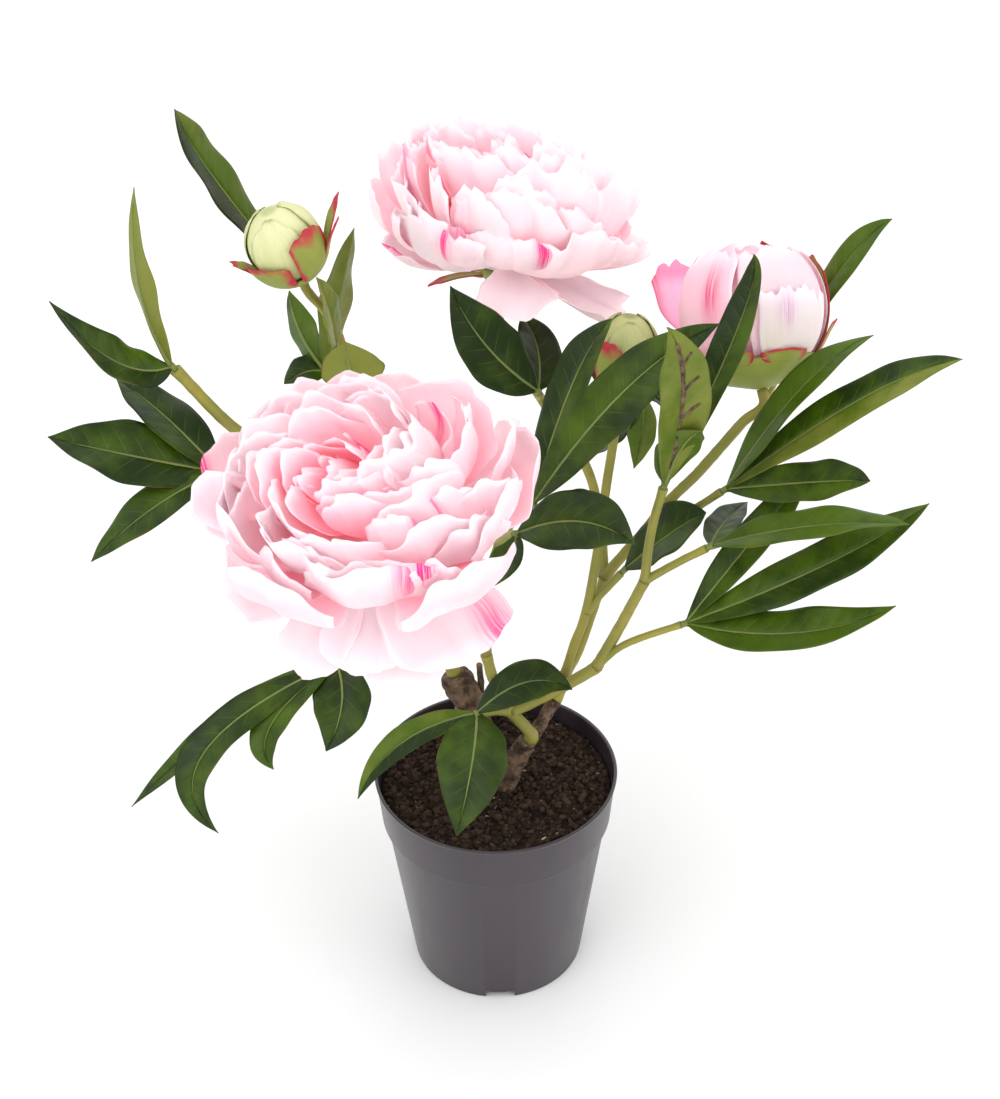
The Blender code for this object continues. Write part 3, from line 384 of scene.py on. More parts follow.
# The buds: radius across and along, stem, sepals as above, material of the petals
BUDS = {
    "bud_left": ((18.2, 19.2), "stems_left", [
        (232, 0, 34, 0.5), (318, 26, 22, 0.5), (22, 16, 9, 14.0), (350, 12, 9, 11.0),
        (100, 10, 24, 1.0), (185, 0, 8, 7.0)], "bud_cream"),
    "bud_small": ((16.5, 20.5), "stems_back", [
        (238, 28, 16, 0.5), (330, 2, 16, 0.5), (60, 10, 16, 0.5), (165, -6, 16, 1.0)], "bud_olive"),
}
# Their petals: turn, top latitude
BUD_WRAPS = [(30, 76), (150, 72), (270, 68)]
BUD_WRAP_WIDTH = 2.2
BUD_CORE_INSET = (1.2, 0.6)
# How far round a petal may reach on each side, in radians, and how far apart its columns are
WRAP_LIMIT = 0.8
WRAP_STEP = 1.6
# The cup round a ball: the room below the ball, its floor, foot, sides, and latitudes
CUP = 2.6
CUP_FLOOR = 1.7
CUP_FOOT = 3.6
CUP_OUTSIDE = 2.8
CUP_INSIDE = 1.5
CUP_LOW = -66
CUP_TOP = -42
# How far below the cup's edge its sepals start
SEPAL_OVERLAP = 5

# The camera, from the ellipses of the pot's rim and foot, in metres
CAMERA_PLACE = (0.0036, -0.9051, 0.9224)
CAMERA_RIGHT = (0.99993, -0.00718, -0.00988)
CAMERA_UP = (0.01222, 0.58774, 0.80896)
CAMERA_BACK = (0.0, -0.8090, 0.5878)
CAMERA_LENS = 75.34
SENSOR = 36.0
# The studio: each light's place, size and power
LIGHTS = {
    "key": ((-1.2, -1.4, 2.2), 1.6, 14.0),
    "fill": ((1.8, -1.0, 1.4), 1.4, 6.0),
    "low": ((-0.3, -1.8, 0.3), 1.2, 2.5),
    "back": ((0.2, 1.8, 1.9), 1.4, 4.0),
}
LIGHTS_AIM = (0.0, 0.0, 0.25)
WORLD_LIGHT = 1.08
FLOOR_SIZE = 14.0
FLOOR_DROP = 0.0002
FLOOR_GREYS = (0.93, 0.95)

SHADER = "Principled BSDF"
# How light spreads inside the petals
SUBSURFACE = {"Subsurface Weight": 0.5, "Subsurface Radius": (1.0, 0.80, 0.84),
              "Subsurface Scale": 0.0025}


# Vectors and frames


def unit(vector):
    """The vector, or each one of an array, made 1 long."""
    vector = np.asarray(vector, float)
    return vector / np.maximum(np.linalg.norm(vector, axis=-1, keepdims=True), TINY)


def heading(degrees):
    """The level direction at a turn from +X."""
    return np.array([math.cos(math.radians(degrees)), math.sin(math.radians(degrees)), 0.0])


def placed(points, where):
    """Points of a frame, an origin and three axes, in the model's own axes."""
    return where[0] + points @ np.stack(where[1:])


def plugged(path, length):
    """The first points of a piece that goes on from the end of a path, a small gap away."""
    end = np.asarray(path[-1], float)
    direction = unit(end - np.asarray(path[-2], float))
    return [end + direction * GAP, end + direction * length]


def stem_path(stem, path):
    points = STEMS[stem][path][1]
    if isinstance(points[0][0], str):
        wood, branch = points[0]
        points = plugged(WOOD[wood][branch][1], WOOD_PLUG) + points[1:]
    return np.array(points, float)


def end_frame(stem, path, above=0.0):
    """The frame of a piece that sits on the end of a stem."""
    points = stem_path(stem, path)
    axis = unit(points[-1] - points[-2])
    sideways = unit(np.array([1.0, 0.0, 0.0]) - axis * axis[0])
    return points[-1] + axis * (GAP + above), sideways, np.cross(axis, sideways), axis


def wobble(points, size, seed):
    """A smooth uneven value between about -1 and 1 at each point, the same on each run."""
    random = np.random.default_rng(seed)
    total = np.zeros(points.shape[:-1])
    for _ in range(WAVES):
        direction = unit(random.normal(size=3)) * random.uniform(0.6, 1.7) / size
        total += np.sin(points @ direction * TURN + random.uniform(0, TURN))
    return total / math.sqrt(WAVES)


def ripple(angle, random):
    """A wave along an angle that starts at random."""
    return np.sin(angle + random.uniform(0, 6))


def hump(value, centre, spread):
    """1 where the value is at the centre, falling smoothly to 0 on both sides."""
    return np.exp(-((value - centre) / spread) ** 2)


def bent(root, bend, tip, share):
    """The places at shares of a curve that starts towards its bend, and its direction there."""
    share = share[..., None]
    place = root * (1 - share) ** 2 + bend * 2 * share * (1 - share) + tip * share ** 2
    return place, unit((bend - root) * (1 - share) + (tip - bend) * share)


def smooth_path(points, step):
    """Points along a smooth curve through the given ones."""
    points = np.asarray(points, float)
    ends = np.concatenate([[2 * points[0] - points[1]], points, [2 * points[-1] - points[-2]]])
    found = []
    for a, b, c, d in zip(ends, ends[1:], ends[2:], ends[3:]):
        count = max(2, int(np.linalg.norm(c - b) / step))
        for share in np.arange(count) / count:
            part = 2 * b + (c - a) * share + (2 * a - 5 * b + 4 * c - d) * share ** 2
            found.append((part + (3 * b - a - 3 * c + d) * share ** 3) / 2)
    return np.array(found + [points[-1]])


# Shapes, each as points, faces, and a row of fields for every point


def fields_of(shape, share, across, tone, deep=0.0, mark=0.0):
    """Six fields for every point of a grid or list. The last is 1 on the upper face of a blade."""
    values = (share, across, tone, deep, mark, 1.0)
    return np.stack([np.broadcast_to(value, shape).reshape(-1) for value in values], axis=1)


def grid_faces(rows, columns, closed):
    """The quads of a grid of points, its columns joined round if closed."""
    number = np.arange(rows * columns).reshape(rows, columns)
    if closed:
        number = np.concatenate([number, number[:, :1]], axis=1)
    a, b, c, d = number[:-1, :-1], number[:-1, 1:], number[1:, 1:], number[1:, :-1]
    return np.stack([a, b, c, d], axis=-1).reshape(-1, 4)


def blade(grid, thickness, *fields):
    """A closed thin blade about a grid of points."""
    rows, columns = grid.shape[:2]
    count = rows * columns
    normal = unit(np.cross(np.gradient(grid, axis=0), np.gradient(grid, axis=1)))
    half = normal * thickness[..., None] / 2
    points = np.concatenate([grid + half, grid - half]).reshape(-1, 3)
    lower = grid_faces(rows, columns, False)
    number = np.arange(count).reshape(rows, columns)
    rim = np.concatenate([number[0, :-1], number[:-1, -1], number[-1, :0:-1], number[:0:-1, 0]])
    after = np.roll(rim, -1)
    sides = np.stack([rim, after, after + count, rim + count], axis=-1)
    faces = np.concatenate([lower[:, ::-1], lower + count, sides])
    fields = np.tile(fields_of((rows, columns), *fields), (2, 1))
    fields[count:, 5] = 0.0
    return points, faces.tolist(), fields


def tube(path, radii, sides, tone, lumps=0.0, seed=0):
    """A closed round bar along a path, with fields for its share along, its turn and its tone."""
    rows = len(path)
    along = unit(np.gradient(path, axis=0))
    guide = (0, 0, 1) if abs(along[0, 2]) < 0.9 else (0, -1, 0)
    across = np.cross(guide, along[0])
    angles = TURN * np.arange(sides) / sides
    grid = np.zeros((rows, sides, 3))
    for row in range(rows):
        across = unit(across - along[row] * np.dot(across, along[row]))
        over = np.cross(along[row], across)
        grid[row] = np.outer(np.cos(angles), across) + np.outer(np.sin(angles), over)
    reach = np.broadcast_to(radii, rows)[:, None]
    reach = reach * (1 + lumps * wobble(path[:, None] + grid * 6, LUMP_SIZE, seed))
    points = (path[:, None] + grid * reach[:, :, None]).reshape(-1, 3)
    faces = grid_faces(rows, sides, True).tolist()
    faces.append(list(range(sides))[::-1])
    faces.append([(rows - 1) * sides + turn for turn in range(sides)])
    share = np.linspace(0, 1, rows)[:, None]
    return points, faces, fields_of((rows, sides), share, np.cos(angles), tone)


def revolved(profile, turns, where=None):
    """A solid of revolution that starts and ends on its axis."""
    profile = np.asarray(profile, float)
    angles = TURN * np.arange(turns) / turns
    reach, height = profile[1:-1, :1], profile[1:-1, 1:]
    grid = np.stack([reach * np.cos(angles), reach * np.sin(angles), height + 0 * angles], axis=-1)
    points = np.concatenate([grid.reshape(-1, 3), [profile[0, 1] * UP, profile[-1, 1] * UP]])
    faces = grid_faces(len(reach), turns, True).tolist()
    first, last = len(points) - 2, len(points) - 1
    top_row = (len(reach) - 1) * turns
    for turn in range(turns):
        after = (turn + 1) % turns
        faces += [[first, after, turn], [last, top_row + turn, top_row + after]]
    share = np.append(np.repeat(np.linspace(0, 1, len(reach)), turns), [0, 1])
    if where is not None:
        points = placed(points, where)
    return points, faces, fields_of(len(points), share, 0.0, 0.5)


def rounded(profile, radius):
    """A profile with its corners rounded off."""
    profile = np.asarray(profile, float)
    found = [profile[0]]
    for before, corner, after in zip(profile, profile[1:], profile[2:]):
        shortest = min(np.linalg.norm(corner - before), np.linalg.norm(after - corner))
        reach = min(radius, shortest * 0.45)
        start = corner + unit(before - corner) * reach
        end = corner + unit(after - corner) * reach
        found += list(bent(start, corner, end, np.linspace(0, 1, 4))[0])
    return found + [profile[-1]]


# Leaves


def leaflet(root, middle, tip, width, roll, shades, seed):
    """A leaf blade with a sunken midrib, side veins and waved edges, and the rib along its back."""
    random = np.random.default_rng(seed)
    middle, tip = np.array([middle, tip], float)
    length = np.linalg.norm(tip - root)
    chord = (tip - root) / length
    upward = unit(UP - chord * chord[2])
    cosine, sine, _ = heading(roll)
    normal = upward * cosine + np.cross(chord, upward) * sine
    rows = int(length / LEAF_ROW_STEP)
    share = np.linspace(0, 1, rows)
    centre, slope = bent(root, 2 * middle - (root + tip) / 2, tip, share)
    facing = unit(normal - slope * (slope @ normal)[:, None])
    sideways = np.cross(slope, facing)
    outline = share ** LEAF_LOW * (1 - share) ** LEAF_HIGH / LEAF_FULL
    half = np.maximum(width / 2 * outline, 1.0 - 0.8 * share)
    half = (half * (1 + LEAF_RAGGED * ripple(share * 23, random)))[:, None]
    along = share[:, None] * np.ones(LEAF_COLUMNS)
    across = np.linspace(-1, 1, LEAF_COLUMNS) * np.ones((rows, 1))
    across = np.sign(across) * np.abs(across) ** 1.25
    away = np.abs(across)
    vein = max(LEAF_VEINS, length / VEIN_STEP) * (along - 0.75 * (away * half / length) ** 0.92)
    vein += 0.5 * (across > 0)
    swell = VEIN_SWELL * (0.25 - (vein % 1.0 - 0.5) ** 2) * away ** 0.5 * (1 - away ** 3)
    groove = -GROOVE[0] * hump(across, 0.0, GROOVE[1])
    wave = LEAF_WAVE * across * away * np.sin(5.0 * math.pi * along + length)
    wave += 0.016 * away ** 3 * ripple(along * length / 5.5 + across, random)
    for side in (across > 0, across < 0):
        wave += 0.05 * across ** 2 * ripple(along * 5, random) * side
    taper = np.minimum(1.0, half / 5.0) * np.minimum(1.0, (1 - along) * 8)
    lift = away * half * math.sin(LEAF_FOLD) + width * wave * 4 * along * (1 - along)
    lift += (swell + groove) * taper
    grid = centre[:, None] + sideways[:, None] * (across * half * math.cos(LEAF_FOLD))[:, :, None]
    grid = grid + facing[:, None] * lift[:, :, None]
    # Each half takes its shade from the table: partly the leaf's own colour, partly painted light
    # and shade.
    tone = shades[1] + (shades[0] - shades[1]) / (1 + np.exp(across * 14))
    made = blade(grid, LEAF_THICK * (1 - 0.35 * away ** 4), along, across, tone, vein)
    back = centre - facing * (0.65 - 0.1 * share)[:, None]
    seen = slice(0, max(3, int(rows * 0.93)), 2)
    rib = tube(back[seen], RIB_RADIUS * (1 - share[seen]) ** 1.2 + 0.2, 7, sum(shades) / 2)
    return made, rib, grid, back


def twig(grid, back):
    """A forked twig that lies on the back of a leaflet."""
    shapes = [tube(back[5:-9:2], 1.5, 9, 0.5, 0.2, 1)]
    middle = LEAF_COLUMNS // 2
    columns = np.linspace(middle, LEAF_COLUMNS - 4, 6).astype(int)
    for row, radius in ((len(grid) // 3, 0.91), (len(grid) // 2, 0.78), (len(grid) * 2 // 3, 0.65)):
        side = grid[row + np.arange(6), columns]
        side = side + (back[row] - grid[row, middle]) * np.linspace(1, 1.6, 6)[:, None]
        shapes.append(tube(smooth_path(side, 1.5), radius, 7, 0.5, 0.2, row))
    return shapes


def leaf(name, seed):
    """The blades of a leaf, their ribs with the stalk, and the twig if it has one."""
    stem, path, leaflets = LEAVES[name]
    start, joint = plugged(stem_path(stem, path), PETIOLE)
    root = start + (joint - start) * 0.6
    ribs = [tube(smooth_path([start, root, joint], 1.0), 1.7, 12, 0.5)]
    blades, twigs = [], []
    for number, given in enumerate(leaflets):
        made, rib, grid, back = leaflet(root, *given, seed + number)
        blades.append(made)
        ribs.append(rib)
        if (name, number) == TWIG_LEAFLET:
            twigs = twig(grid, back)
    return blades, ribs, twigs


# Stems and wood


def stem_shapes(name):
    """The stems of a group, each a little thicker where it starts and ends."""
    shapes = []
    for number, (path, (radius, _)) in enumerate(STEMS[name].items()):
        points = smooth_path(stem_path(name, path), STEM_STEP)
        reach = np.append(0, np.cumsum(np.linalg.norm(np.diff(points, axis=0), axis=1)))
        knob = 0.20 * hump(reach, 0.0, 3.5) + 0.10 * hump(reach, reach[-1], 3.0)
        radii = radius * (1.0 - 0.06 * reach / reach[-1] + knob)
        shapes.append(tube(points, radii, 14, number * 0.37 % 1.0, STEM_LUMPS, number))
    return shapes


def wood_shapes(name):
    shapes = []
    for number, (radius, path) in enumerate(WOOD[name].values()):
        points = smooth_path(path, WOOD_STEP)
        sides = 40 if radius > 3 else 14
        shapes.append(tube(points, radius, sides, 0.3 + 0.2 * number, WOOD_LUMPS, 40 + number))
    return shapes


# Petals


def petal_width(share, foot=PETAL_FOOT):
    """The share of its full width that a petal has at a share of its length."""
    return foot + (1 - foot) * np.sin(math.pi / 2 * np.minimum(1.0, share / 0.7))


def petal_grid(rows, columns, ragged, random):
    """The places across and along a petal, with the even steps that its notched end is cut from."""
    across = np.linspace(-1, 1, columns) * np.ones((rows, 1))
    steps = np.linspace(0, 1, rows)[:, None]
    lost = random.uniform(*END_ROUNDING) * (1.25 - 0.45 * ragged) * np.abs(across) ** 2.2
    for _ in range(random.integers(1, 4)):
        centre = random.uniform(-0.85, 0.85)
        depth = random.uniform(*END_NOTCH) * ragged
        lost += depth * hump(across, centre, random.uniform(*END_NOTCH_WIDTH))
    lost += 0.012 * ragged * ripple(across * 11, random)
    lost += 0.006 * ragged ** 2 * ripple(across * 25, random)
    return across, steps, steps * (1 - lost * steps ** 2)


def petal(where, turn, root, bend, tip, width, cup, number, heart=0.0, stain=(0.0, 0.0), ragged=1.0,
          thickness=PETAL_THICK, loose=0.0, lean=(0.0, 0.0), twist=0.0, dome=None, outside=0.0):
    """A cupped petal with a ruffled and notched end, on the same lines as its solid."""
    random = np.random.default_rng(900 + number)
    rows, columns = (int(np.clip(width / PETAL_STEP, least, 27)) for least in (12, 13))
    across, steps, share = petal_grid(rows, columns, ragged, random)
    away = np.abs(across)
    place, slope = bent(*np.array([root, bend, tip], float), share)
    half = width / 2 * petal_width(share) * (1 + 0.03 * ragged * ripple(share * 19, random))
    sway = SWAY * share ** 2 * np.sin(across * 4.0 + number * 2.4)
    waves = CROSS_WAVES * share ** 3 * ripple(across * 9, random) * (0.3 + away)
    frill = FRILL * away ** 3 * share * ripple(share * 7, random)
    crease = CREASE * share * hump(across, random.uniform(-0.5, 0.5), 0.12)
    swirl = SWIRL * share * ripple(across * 6 + share * 5, random)
    pleats = np.sin(across * random.uniform(7, 11) + random.uniform(0, 6) + share)
    pleats *= PLEATS * max(0.0, ragged - 0.6) * share ** 1.5
    curl = CURL * random.uniform(-0.4, 1.0) * np.maximum(0, steps - 0.75) ** 2
    lift = width * (sway + waves + frill - crease + swirl + pleats + curl)
    lift += loose * random.uniform(-0.22, 0.22) * across * half * share
    lift += cup * (1 + loose * random.uniform(-0.3, 0.5)) * half * across ** 2
    aslant = loose * random.uniform(-0.16, 0.16) * width * share ** 2
    height = place[:, :, 1] + slope[:, :, 0] * lift
    grid = (heading(turn) * place[:, :, :1] + UP * height[:, :, None]
            + heading(turn + twist + 90) * (across * half + aslant)[:, :, None]
            - heading(turn + twist) * (slope[:, :, 1] * lift)[:, :, None])
    # How deep a place lies. Deep places are painted pinker: partly the petals' own pink, partly
    # painted light and shade of the hollows.
    deep = 0.25 * (1 - share)
    if dome:
        surface = np.interp(np.hypot(grid[:, :, 0], grid[:, :, 1]), *zip(*dome))
        deep = np.clip((surface - height - 1.0) / DEEPEST, 0, 1)
    grid[:, :, :2] += np.array(lean) * (height * share / 50)[:, :, None]
    mark = stain[1] * hump(across, stain[0], 0.24) * np.clip((share - 0.4) / 0.5, 0, 1)
    tone = 0.9 * heart + 0.1 * random.uniform(0, 1)
    thin = thickness * (1 - 0.45 * np.maximum(away, steps) ** 6)
    points, faces, fields = blade(placed(grid, where), thin, share, across, tone, deep, mark)
    # The outer face of a petal takes less of this painted light and shade of the hollows.
    fields[len(points) // 2:, 3] *= 1 - outside
    return points, faces, fields


def set_petal(turn, radius, height, width, cup):
    """A ring of one petal, its root and bend on the same curve as the rings of the solid."""
    root = (min(9.0, 4.0 + 0.2 * radius), 23.0 - 0.22 * radius)
    bend = (radius + 5.0, 38.0 - 0.5 * radius)
    return 1, turn, root, bend, (radius, height), width, cup


def bloom_shapes(rings, seen, where, seed, stains, lean, ragged):
    """The petals of an open bloom: the rings of the solid, then those set between them."""
    tips = [ring[4] for ring in rings]
    widest = max(tips)[0]
    dome = sorted(tip for tip in tips if tip[1] > GUARD_TOP)
    random = np.random.default_rng(seed)
    shapes = []
    every = rings + [set_petal(*one) for one in seen]
    for index, (count, first, root, bend, tip, width, cup) in enumerate(every):
        single = index >= len(rings)
        guard = tip[1] <= GUARD_TOP
        outer = tip[0] > OUTER * widest
        loose = 1.6 if single else 0.4 if outer else 1.2
        shift = ragged + 0.3 if single else loose
        twisted = 1 if single else 0 if outer or guard else 0.7
        inner = max(0.0, 1 - tip[0] / (LEANING * widest))
        for step in range(count):
            turn = first + 360.0 * step / count + random.uniform(-4, 4) * shift
            end = (tip[0] + random.uniform(-2, 1.5) * shift,
                   tip[1] + random.uniform(-2.5, 1.0) * shift)
            wide = width * (1 + 0.07 * shift * random.uniform(-1, 1))
            shapes.append(petal(where, turn, root, bend, end, wide, cup, seed + len(shapes),
                                heart=np.clip(1 - end[0] / widest, 0, 1), ragged=ragged,
                                stain=stains.get((index, step), (0.0, 0.0)), loose=loose,
                                lean=(lean[0] * inner, lean[1] * inner),
                                twist=-TWIST * abs(heading(turn)[0]) * twisted,
                                dome=None if guard else dome, outside=0.5 if outer else 0.3))
    return shapes


def wrapped(where, radii, turn, reach, width, inset, ruffle=(0.0, 0.0), number=0, pink=0.0,
            stain=(0.0, 0.0, 0.0), rows=22, thickness=PETAL_THICK, ragged=1.0, foot=PETAL_FOOT):
    """A petal that lies round a ball, from a low to a high latitude."""
    random = np.random.default_rng(300 + number)
    across, steps, share = petal_grid(rows, int(np.clip(width / WRAP_STEP, 9, 33)), ragged, random)
    latitude = np.radians(reach[0] + (reach[1] - reach[0]) * share)
    out = ruffle[0] * share * np.sin(across * 4.0 + turn) + ruffle[1] * share ** 4 - inset
    out = out + 0.3 * np.sin(across * 9 + share * 5 + number) * share
    radius = (radii[0] + out) * np.cos(latitude)
    height = radii[1] + CUP + (radii[1] + out) * np.sin(latitude)
    half = width / 2 * petal_width(share, foot)
    angle = math.radians(turn) + np.minimum(WRAP_LIMIT, half / np.maximum(radius, 1.0)) * across
    grid = np.stack([radius * np.cos(angle), radius * np.sin(angle), height], axis=-1)
    spread = 0.26 - 0.14 * abs(stain[0])
    mark = stain[2] * hump(across, stain[0], spread) * hump(share, stain[1], 0.16)
    tone = 0.2 + 0.1 * random.uniform(0, 1)
    thin = thickness * (1 - 0.4 * np.maximum(np.abs(across), steps) ** 6)
    return blade(placed(grid, where), thin, share, across, tone, pink + 0.3 * (1 - share), mark)


def arc(across, along, centre, latitudes):
    """The radius and height of places on a ball."""
    angles = np.radians(latitudes)
    return np.stack([across * np.cos(angles), centre + along * np.sin(angles)], axis=1)


def ball(across, below, above, centre, where):
    """A ball with one reach below its middle and another above."""
    latitudes = np.linspace(-90, 90, 25)
    reach = np.where(latitudes < 0, below, above)
    return revolved(arc(across, reach, centre, latitudes), 32, where)


def cup_and_sepals(radii, sepals, where):
    """A thin cup round the lower part of a ball, and the sepals that rise from it."""
    latitudes = np.linspace(CUP_LOW, CUP_TOP, 6)
    sides = [arc(radii[0] + reach, radii[1] + reach, radii[1] + CUP, latitudes[::way])
             for reach, way in ((CUP_OUTSIDE, 1), (CUP_INSIDE, -1))]
    profile = np.concatenate([[(0, 0), (CUP_FOOT, 0)], *sides, [(0, CUP_FLOOR)]])
    shapes = [revolved(profile, 48, where)]
    for number, (turn, high, width, flare) in enumerate(sepals):
        shapes.append(wrapped(where, radii, turn, (CUP_TOP - SEPAL_OVERLAP, high), width,
                              -SEPAL_OUT, (0.0, flare), number, rows=16, thickness=SEPAL_THICK,
                              ragged=0.9, foot=SEPAL_FOOT))
    return shapes


def calyx_shapes(where, sepals):
    """The cup and sepals below an open bloom."""
    shapes = [revolved(rounded(CALYX, 1.5), 48, where)]
    for number, (turn, length, width) in enumerate(sepals):
        shapes.append(petal(where, turn, (4, 5), (16, 7), (length, -2), width, 0.1, 60 + number,
                            ragged=0.3, thickness=SEPAL_THICK))
    return shapes


# Materials. A look makes a colour and the height of a bump from a node tree and its colours.

MATERIALS = {}


class Value:
    """A node's output. Sums, products and mixes of it are made by adding nodes."""

    def __init__(self, tree, socket):
        self.tree = tree
        self.socket = socket

    def maths(self, operation, other=0.0, clamp=False):
        return add(self.tree, "ShaderNodeMath", {0: self, 1: other}, operation=operation,
                   use_clamp=clamp)

    def __add__(self, other):
        return self.maths("ADD", other)

    def __sub__(self, other):
        return self.maths("SUBTRACT", other)

    def __rsub__(self, other):
        return add(self.tree, "ShaderNodeMath", {0: other, 1: self}, operation="SUBTRACT")

    def __mul__(self, other):
        return self.maths("MULTIPLY", other)

    def __pow__(self, other):
        return self.maths("POWER", other)

    def __abs__(self):
        return self.maths("ABSOLUTE")

    def step(self, low, high, to_low=0.0, to_high=1.0):
        """The value taken smoothly from one range to another."""
        inputs = {0: self, 1: low, 2: high, 3: to_low, 4: to_high}
        return add(self.tree, "ShaderNodeMapRange", inputs, interpolation_type="SMOOTHSTEP")

    def mix(self, first, second):
        """A colour that goes from the first to the second as the value goes from 0 to 1."""
        return add(self.tree, "ShaderNodeMix", {0: self, 6: first, 7: second}, 2, data_type="RGBA")

    def feed(self, shader, socket):
        self.tree.links.new(self.socket, shader.inputs[socket])


def add(tree, kind, inputs=(), output=0, **settings):
    """The output of a new node, with its inputs as numbers, colours or other values."""
    made = tree.nodes.new(kind)
    for setting, value in settings.items():
        setattr(made, setting, value)
    for socket, value in dict(inputs).items():
        if isinstance(value, Value):
            value.feed(made, socket)
        else:
            made.inputs[socket].default_value = value
    return Value(tree, made.outputs[output])


def field(tree, attribute):
    """The three values of a field, read from the mesh."""
    read = add(tree, "ShaderNodeAttribute", (), "Vector", attribute_name=attribute)
    parts = add(tree, "ShaderNodeSeparateXYZ", {0: read})
    return [Value(tree, part) for part in parts.socket.node.outputs]


def noise(tree, scale, detail=3.0, roughness=0.5, vector=None):
    if vector is None:
        vector = add(tree, "ShaderNodeTexCoord", (), "Object")
    return add(tree, "ShaderNodeTexNoise",
               {"Scale": scale, "Detail": detail, "Roughness": roughness, "Vector": vector})


def combined(x, y, z):
    return add(x.tree, "ShaderNodeCombineXYZ", {0: x, 1: y, 2: z})


def colour(red, green, blue):
    """A colour given as 0 to 255, as seen on a screen."""
    parts = [(part / 255) / 12.92 if part < 11 else ((part / 255 + 0.055) / 1.055) ** 2.4
             for part in (red, green, blue)]
    return (*parts, 1.0)


def petal_look(tree, outer, inner, blush_and_hollow_light, foot, stain, edge):
    """Pale outside, pinker in the heart and the deeper it lies, partly as painted light and shade
    of the hollows, with streaks and stains.
    """
    shader = tree.nodes[SHADER]
    shader.subsurface_method = "BURLEY"
    for socket, value in SUBSURFACE.items():
        shader.inputs[socket].default_value = value
    share, across, heart = field(tree, "blade")
    deep, mark, _ = field(tree, "look")
    streaks = noise(tree, 1.6, 3.0, 0.6, combined(across * 16.0, share * 1.5, heart * 90.0))
    depth = deep + (noise(tree, 38.0, 2.0) - 0.5) * 0.35 + (streaks - 0.5) * 0.15
    # The outer petals have a darker colour than the inner ones: painted shade that offsets the
    # stronger light falling on them.
    surface = heart.step(0.0, 0.35).mix(outer, inner)
    # The deep field goes to blush, then to a deep pink. In the open blooms it is the depth below
    # the tips, so this is partly their own pink and partly painted light and shade of the hollows.
    surface = depth.step(0.0, 0.65).mix(surface, blush_and_hollow_light)
    surface = depth.step(0.45, 1.10, 0.0, 0.3).mix(surface, foot)
    surface = (heart.step(0.50, 0.74) * deep.step(-0.10, 0.25)).mix(surface, foot)
    # Margins and end go towards the edge colour: partly the margins' own colour, partly a painted
    # highlight on the thin edges.
    rim = abs(across).maths("MAXIMUM", share * 1.06)
    surface = rim.step(0.86, 1.0, 0.0, 0.8).mix(surface, edge)
    stained = mark.maths("MULTIPLY", streaks.step(0.30, 0.62, 0.25, 1.0), True)
    return stained.mix(surface, stain), streaks


def leaf_look(tree, dark, fresh, olive, pale, brown):
    """A blade with a pale midrib and faint side veins, each half with a shade of its own, partly
    painted light and shade.
    """
    _, across, tone = field(tree, "blade")
    vein, _, face = field(tree, "look")
    away = abs(across)
    patches = noise(tree, 55.0, 4.0)
    shade = tone + (patches - 0.5) * 0.9 + face * 0.3
    surface = shade.step(0.0, 0.55).mix(dark, fresh)
    surface = shade.step(0.5, 1.05).mix(surface, olive)
    place = vein.maths("FRACT")
    place = place.maths("MINIMUM", 1.0 - place)
    side = place.step(0.015, 0.06, 1.0, 0.0) * away.step(0.3, 0.85, 0.28, 0.0)
    lines = away.step(0.015, 0.055, 0.8, 0.0).maths("MAXIMUM", side)
    surface = (lines * 0.6).mix(surface, pale)
    rim = away.step(0.955, 1.0, 0.0, 0.5) * patches.step(0.45, 0.6)
    return rim.mix(surface, brown), lines * -0.6 + noise(tree, 900.0) * 0.35


def stem_look(tree, olive, green, spot, end):
    share, _, _ = field(tree, "blade")
    surface = noise(tree, 22.0).step(0.35, 0.65).mix(olive, green)
    surface = noise(tree, 120.0, 4.0).step(0.55, 0.75, 0.0, 0.55).mix(surface, spot)
    return share.step(0.0, 0.06, 0.55, 0.0).mix(surface, end), noise(tree, 500.0, 4.0)


def rib_look(tree, light, dark):
    return noise(tree, 70.0).mix(light, dark), noise(tree, 600.0)


def bark_look(tree, dark, light, flake):
    coarse = noise(tree, 160.0, 6.0, 0.65)
    fine = noise(tree, 620.0, 4.0)
    surface = coarse.step(0.35, 0.65).mix(dark, light)
    return fine.step(0.55, 0.75, 0.0, 0.5).mix(surface, flake), coarse + fine * 0.5


def soil_look(tree, dark, light):
    surface = noise(tree, 260.0, 6.0, 0.7).step(0.35, 0.7).mix(dark, light)
    return surface, noise(tree, 900.0, 5.0, 0.7)


def crumb_look(tree, dark, light):
    """Each crumb has a shade of its own."""
    _, _, tone = field(tree, "blade")
    return (tone * 0.7 + noise(tree, 700.0) * 0.3).mix(dark, light), noise(tree, 1500.0)


def pot_look(tree, dark, light, dusty):
    """Plastic with faint upright streaks, and dust."""
    place = add(tree, "ShaderNodeTexCoord", (), "Object")
    upright = add(tree, "ShaderNodeMapping", {"Vector": place, "Scale": (1.0, 1.0, 0.12)})
    rubbed = noise(tree, 60.0, 5.0, 0.6, upright)
    rubbed.step(0.3, 0.75, 0.30, 0.44).feed(tree.nodes[SHADER], "Roughness")
    surface = rubbed.step(0.35, 0.7).mix(dark, light)
    dust = noise(tree, 300.0, 4.0, 0.65)
    return dust.step(0.62, 0.80, 0.0, 0.2).mix(surface, dusty), noise(tree, 1400.0)


def calyx_look(tree, green, light, red):
    """Green at the foot, red along the ragged edges. A cup is 0 across, so it stays green."""
    share, across, _ = field(tree, "blade")
    patches = noise(tree, 90.0, 4.0)
    edge = (abs(across) ** 2.0).maths("MAXIMUM", share ** 2.5) + (patches - 0.5) * 1.1
    reddened = edge.step(0.45, 0.85) * abs(across).maths("GREATER_THAN", 0.0001)
    return reddened.mix(patches.mix(green, light), red), noise(tree, 500.0, 4.0)


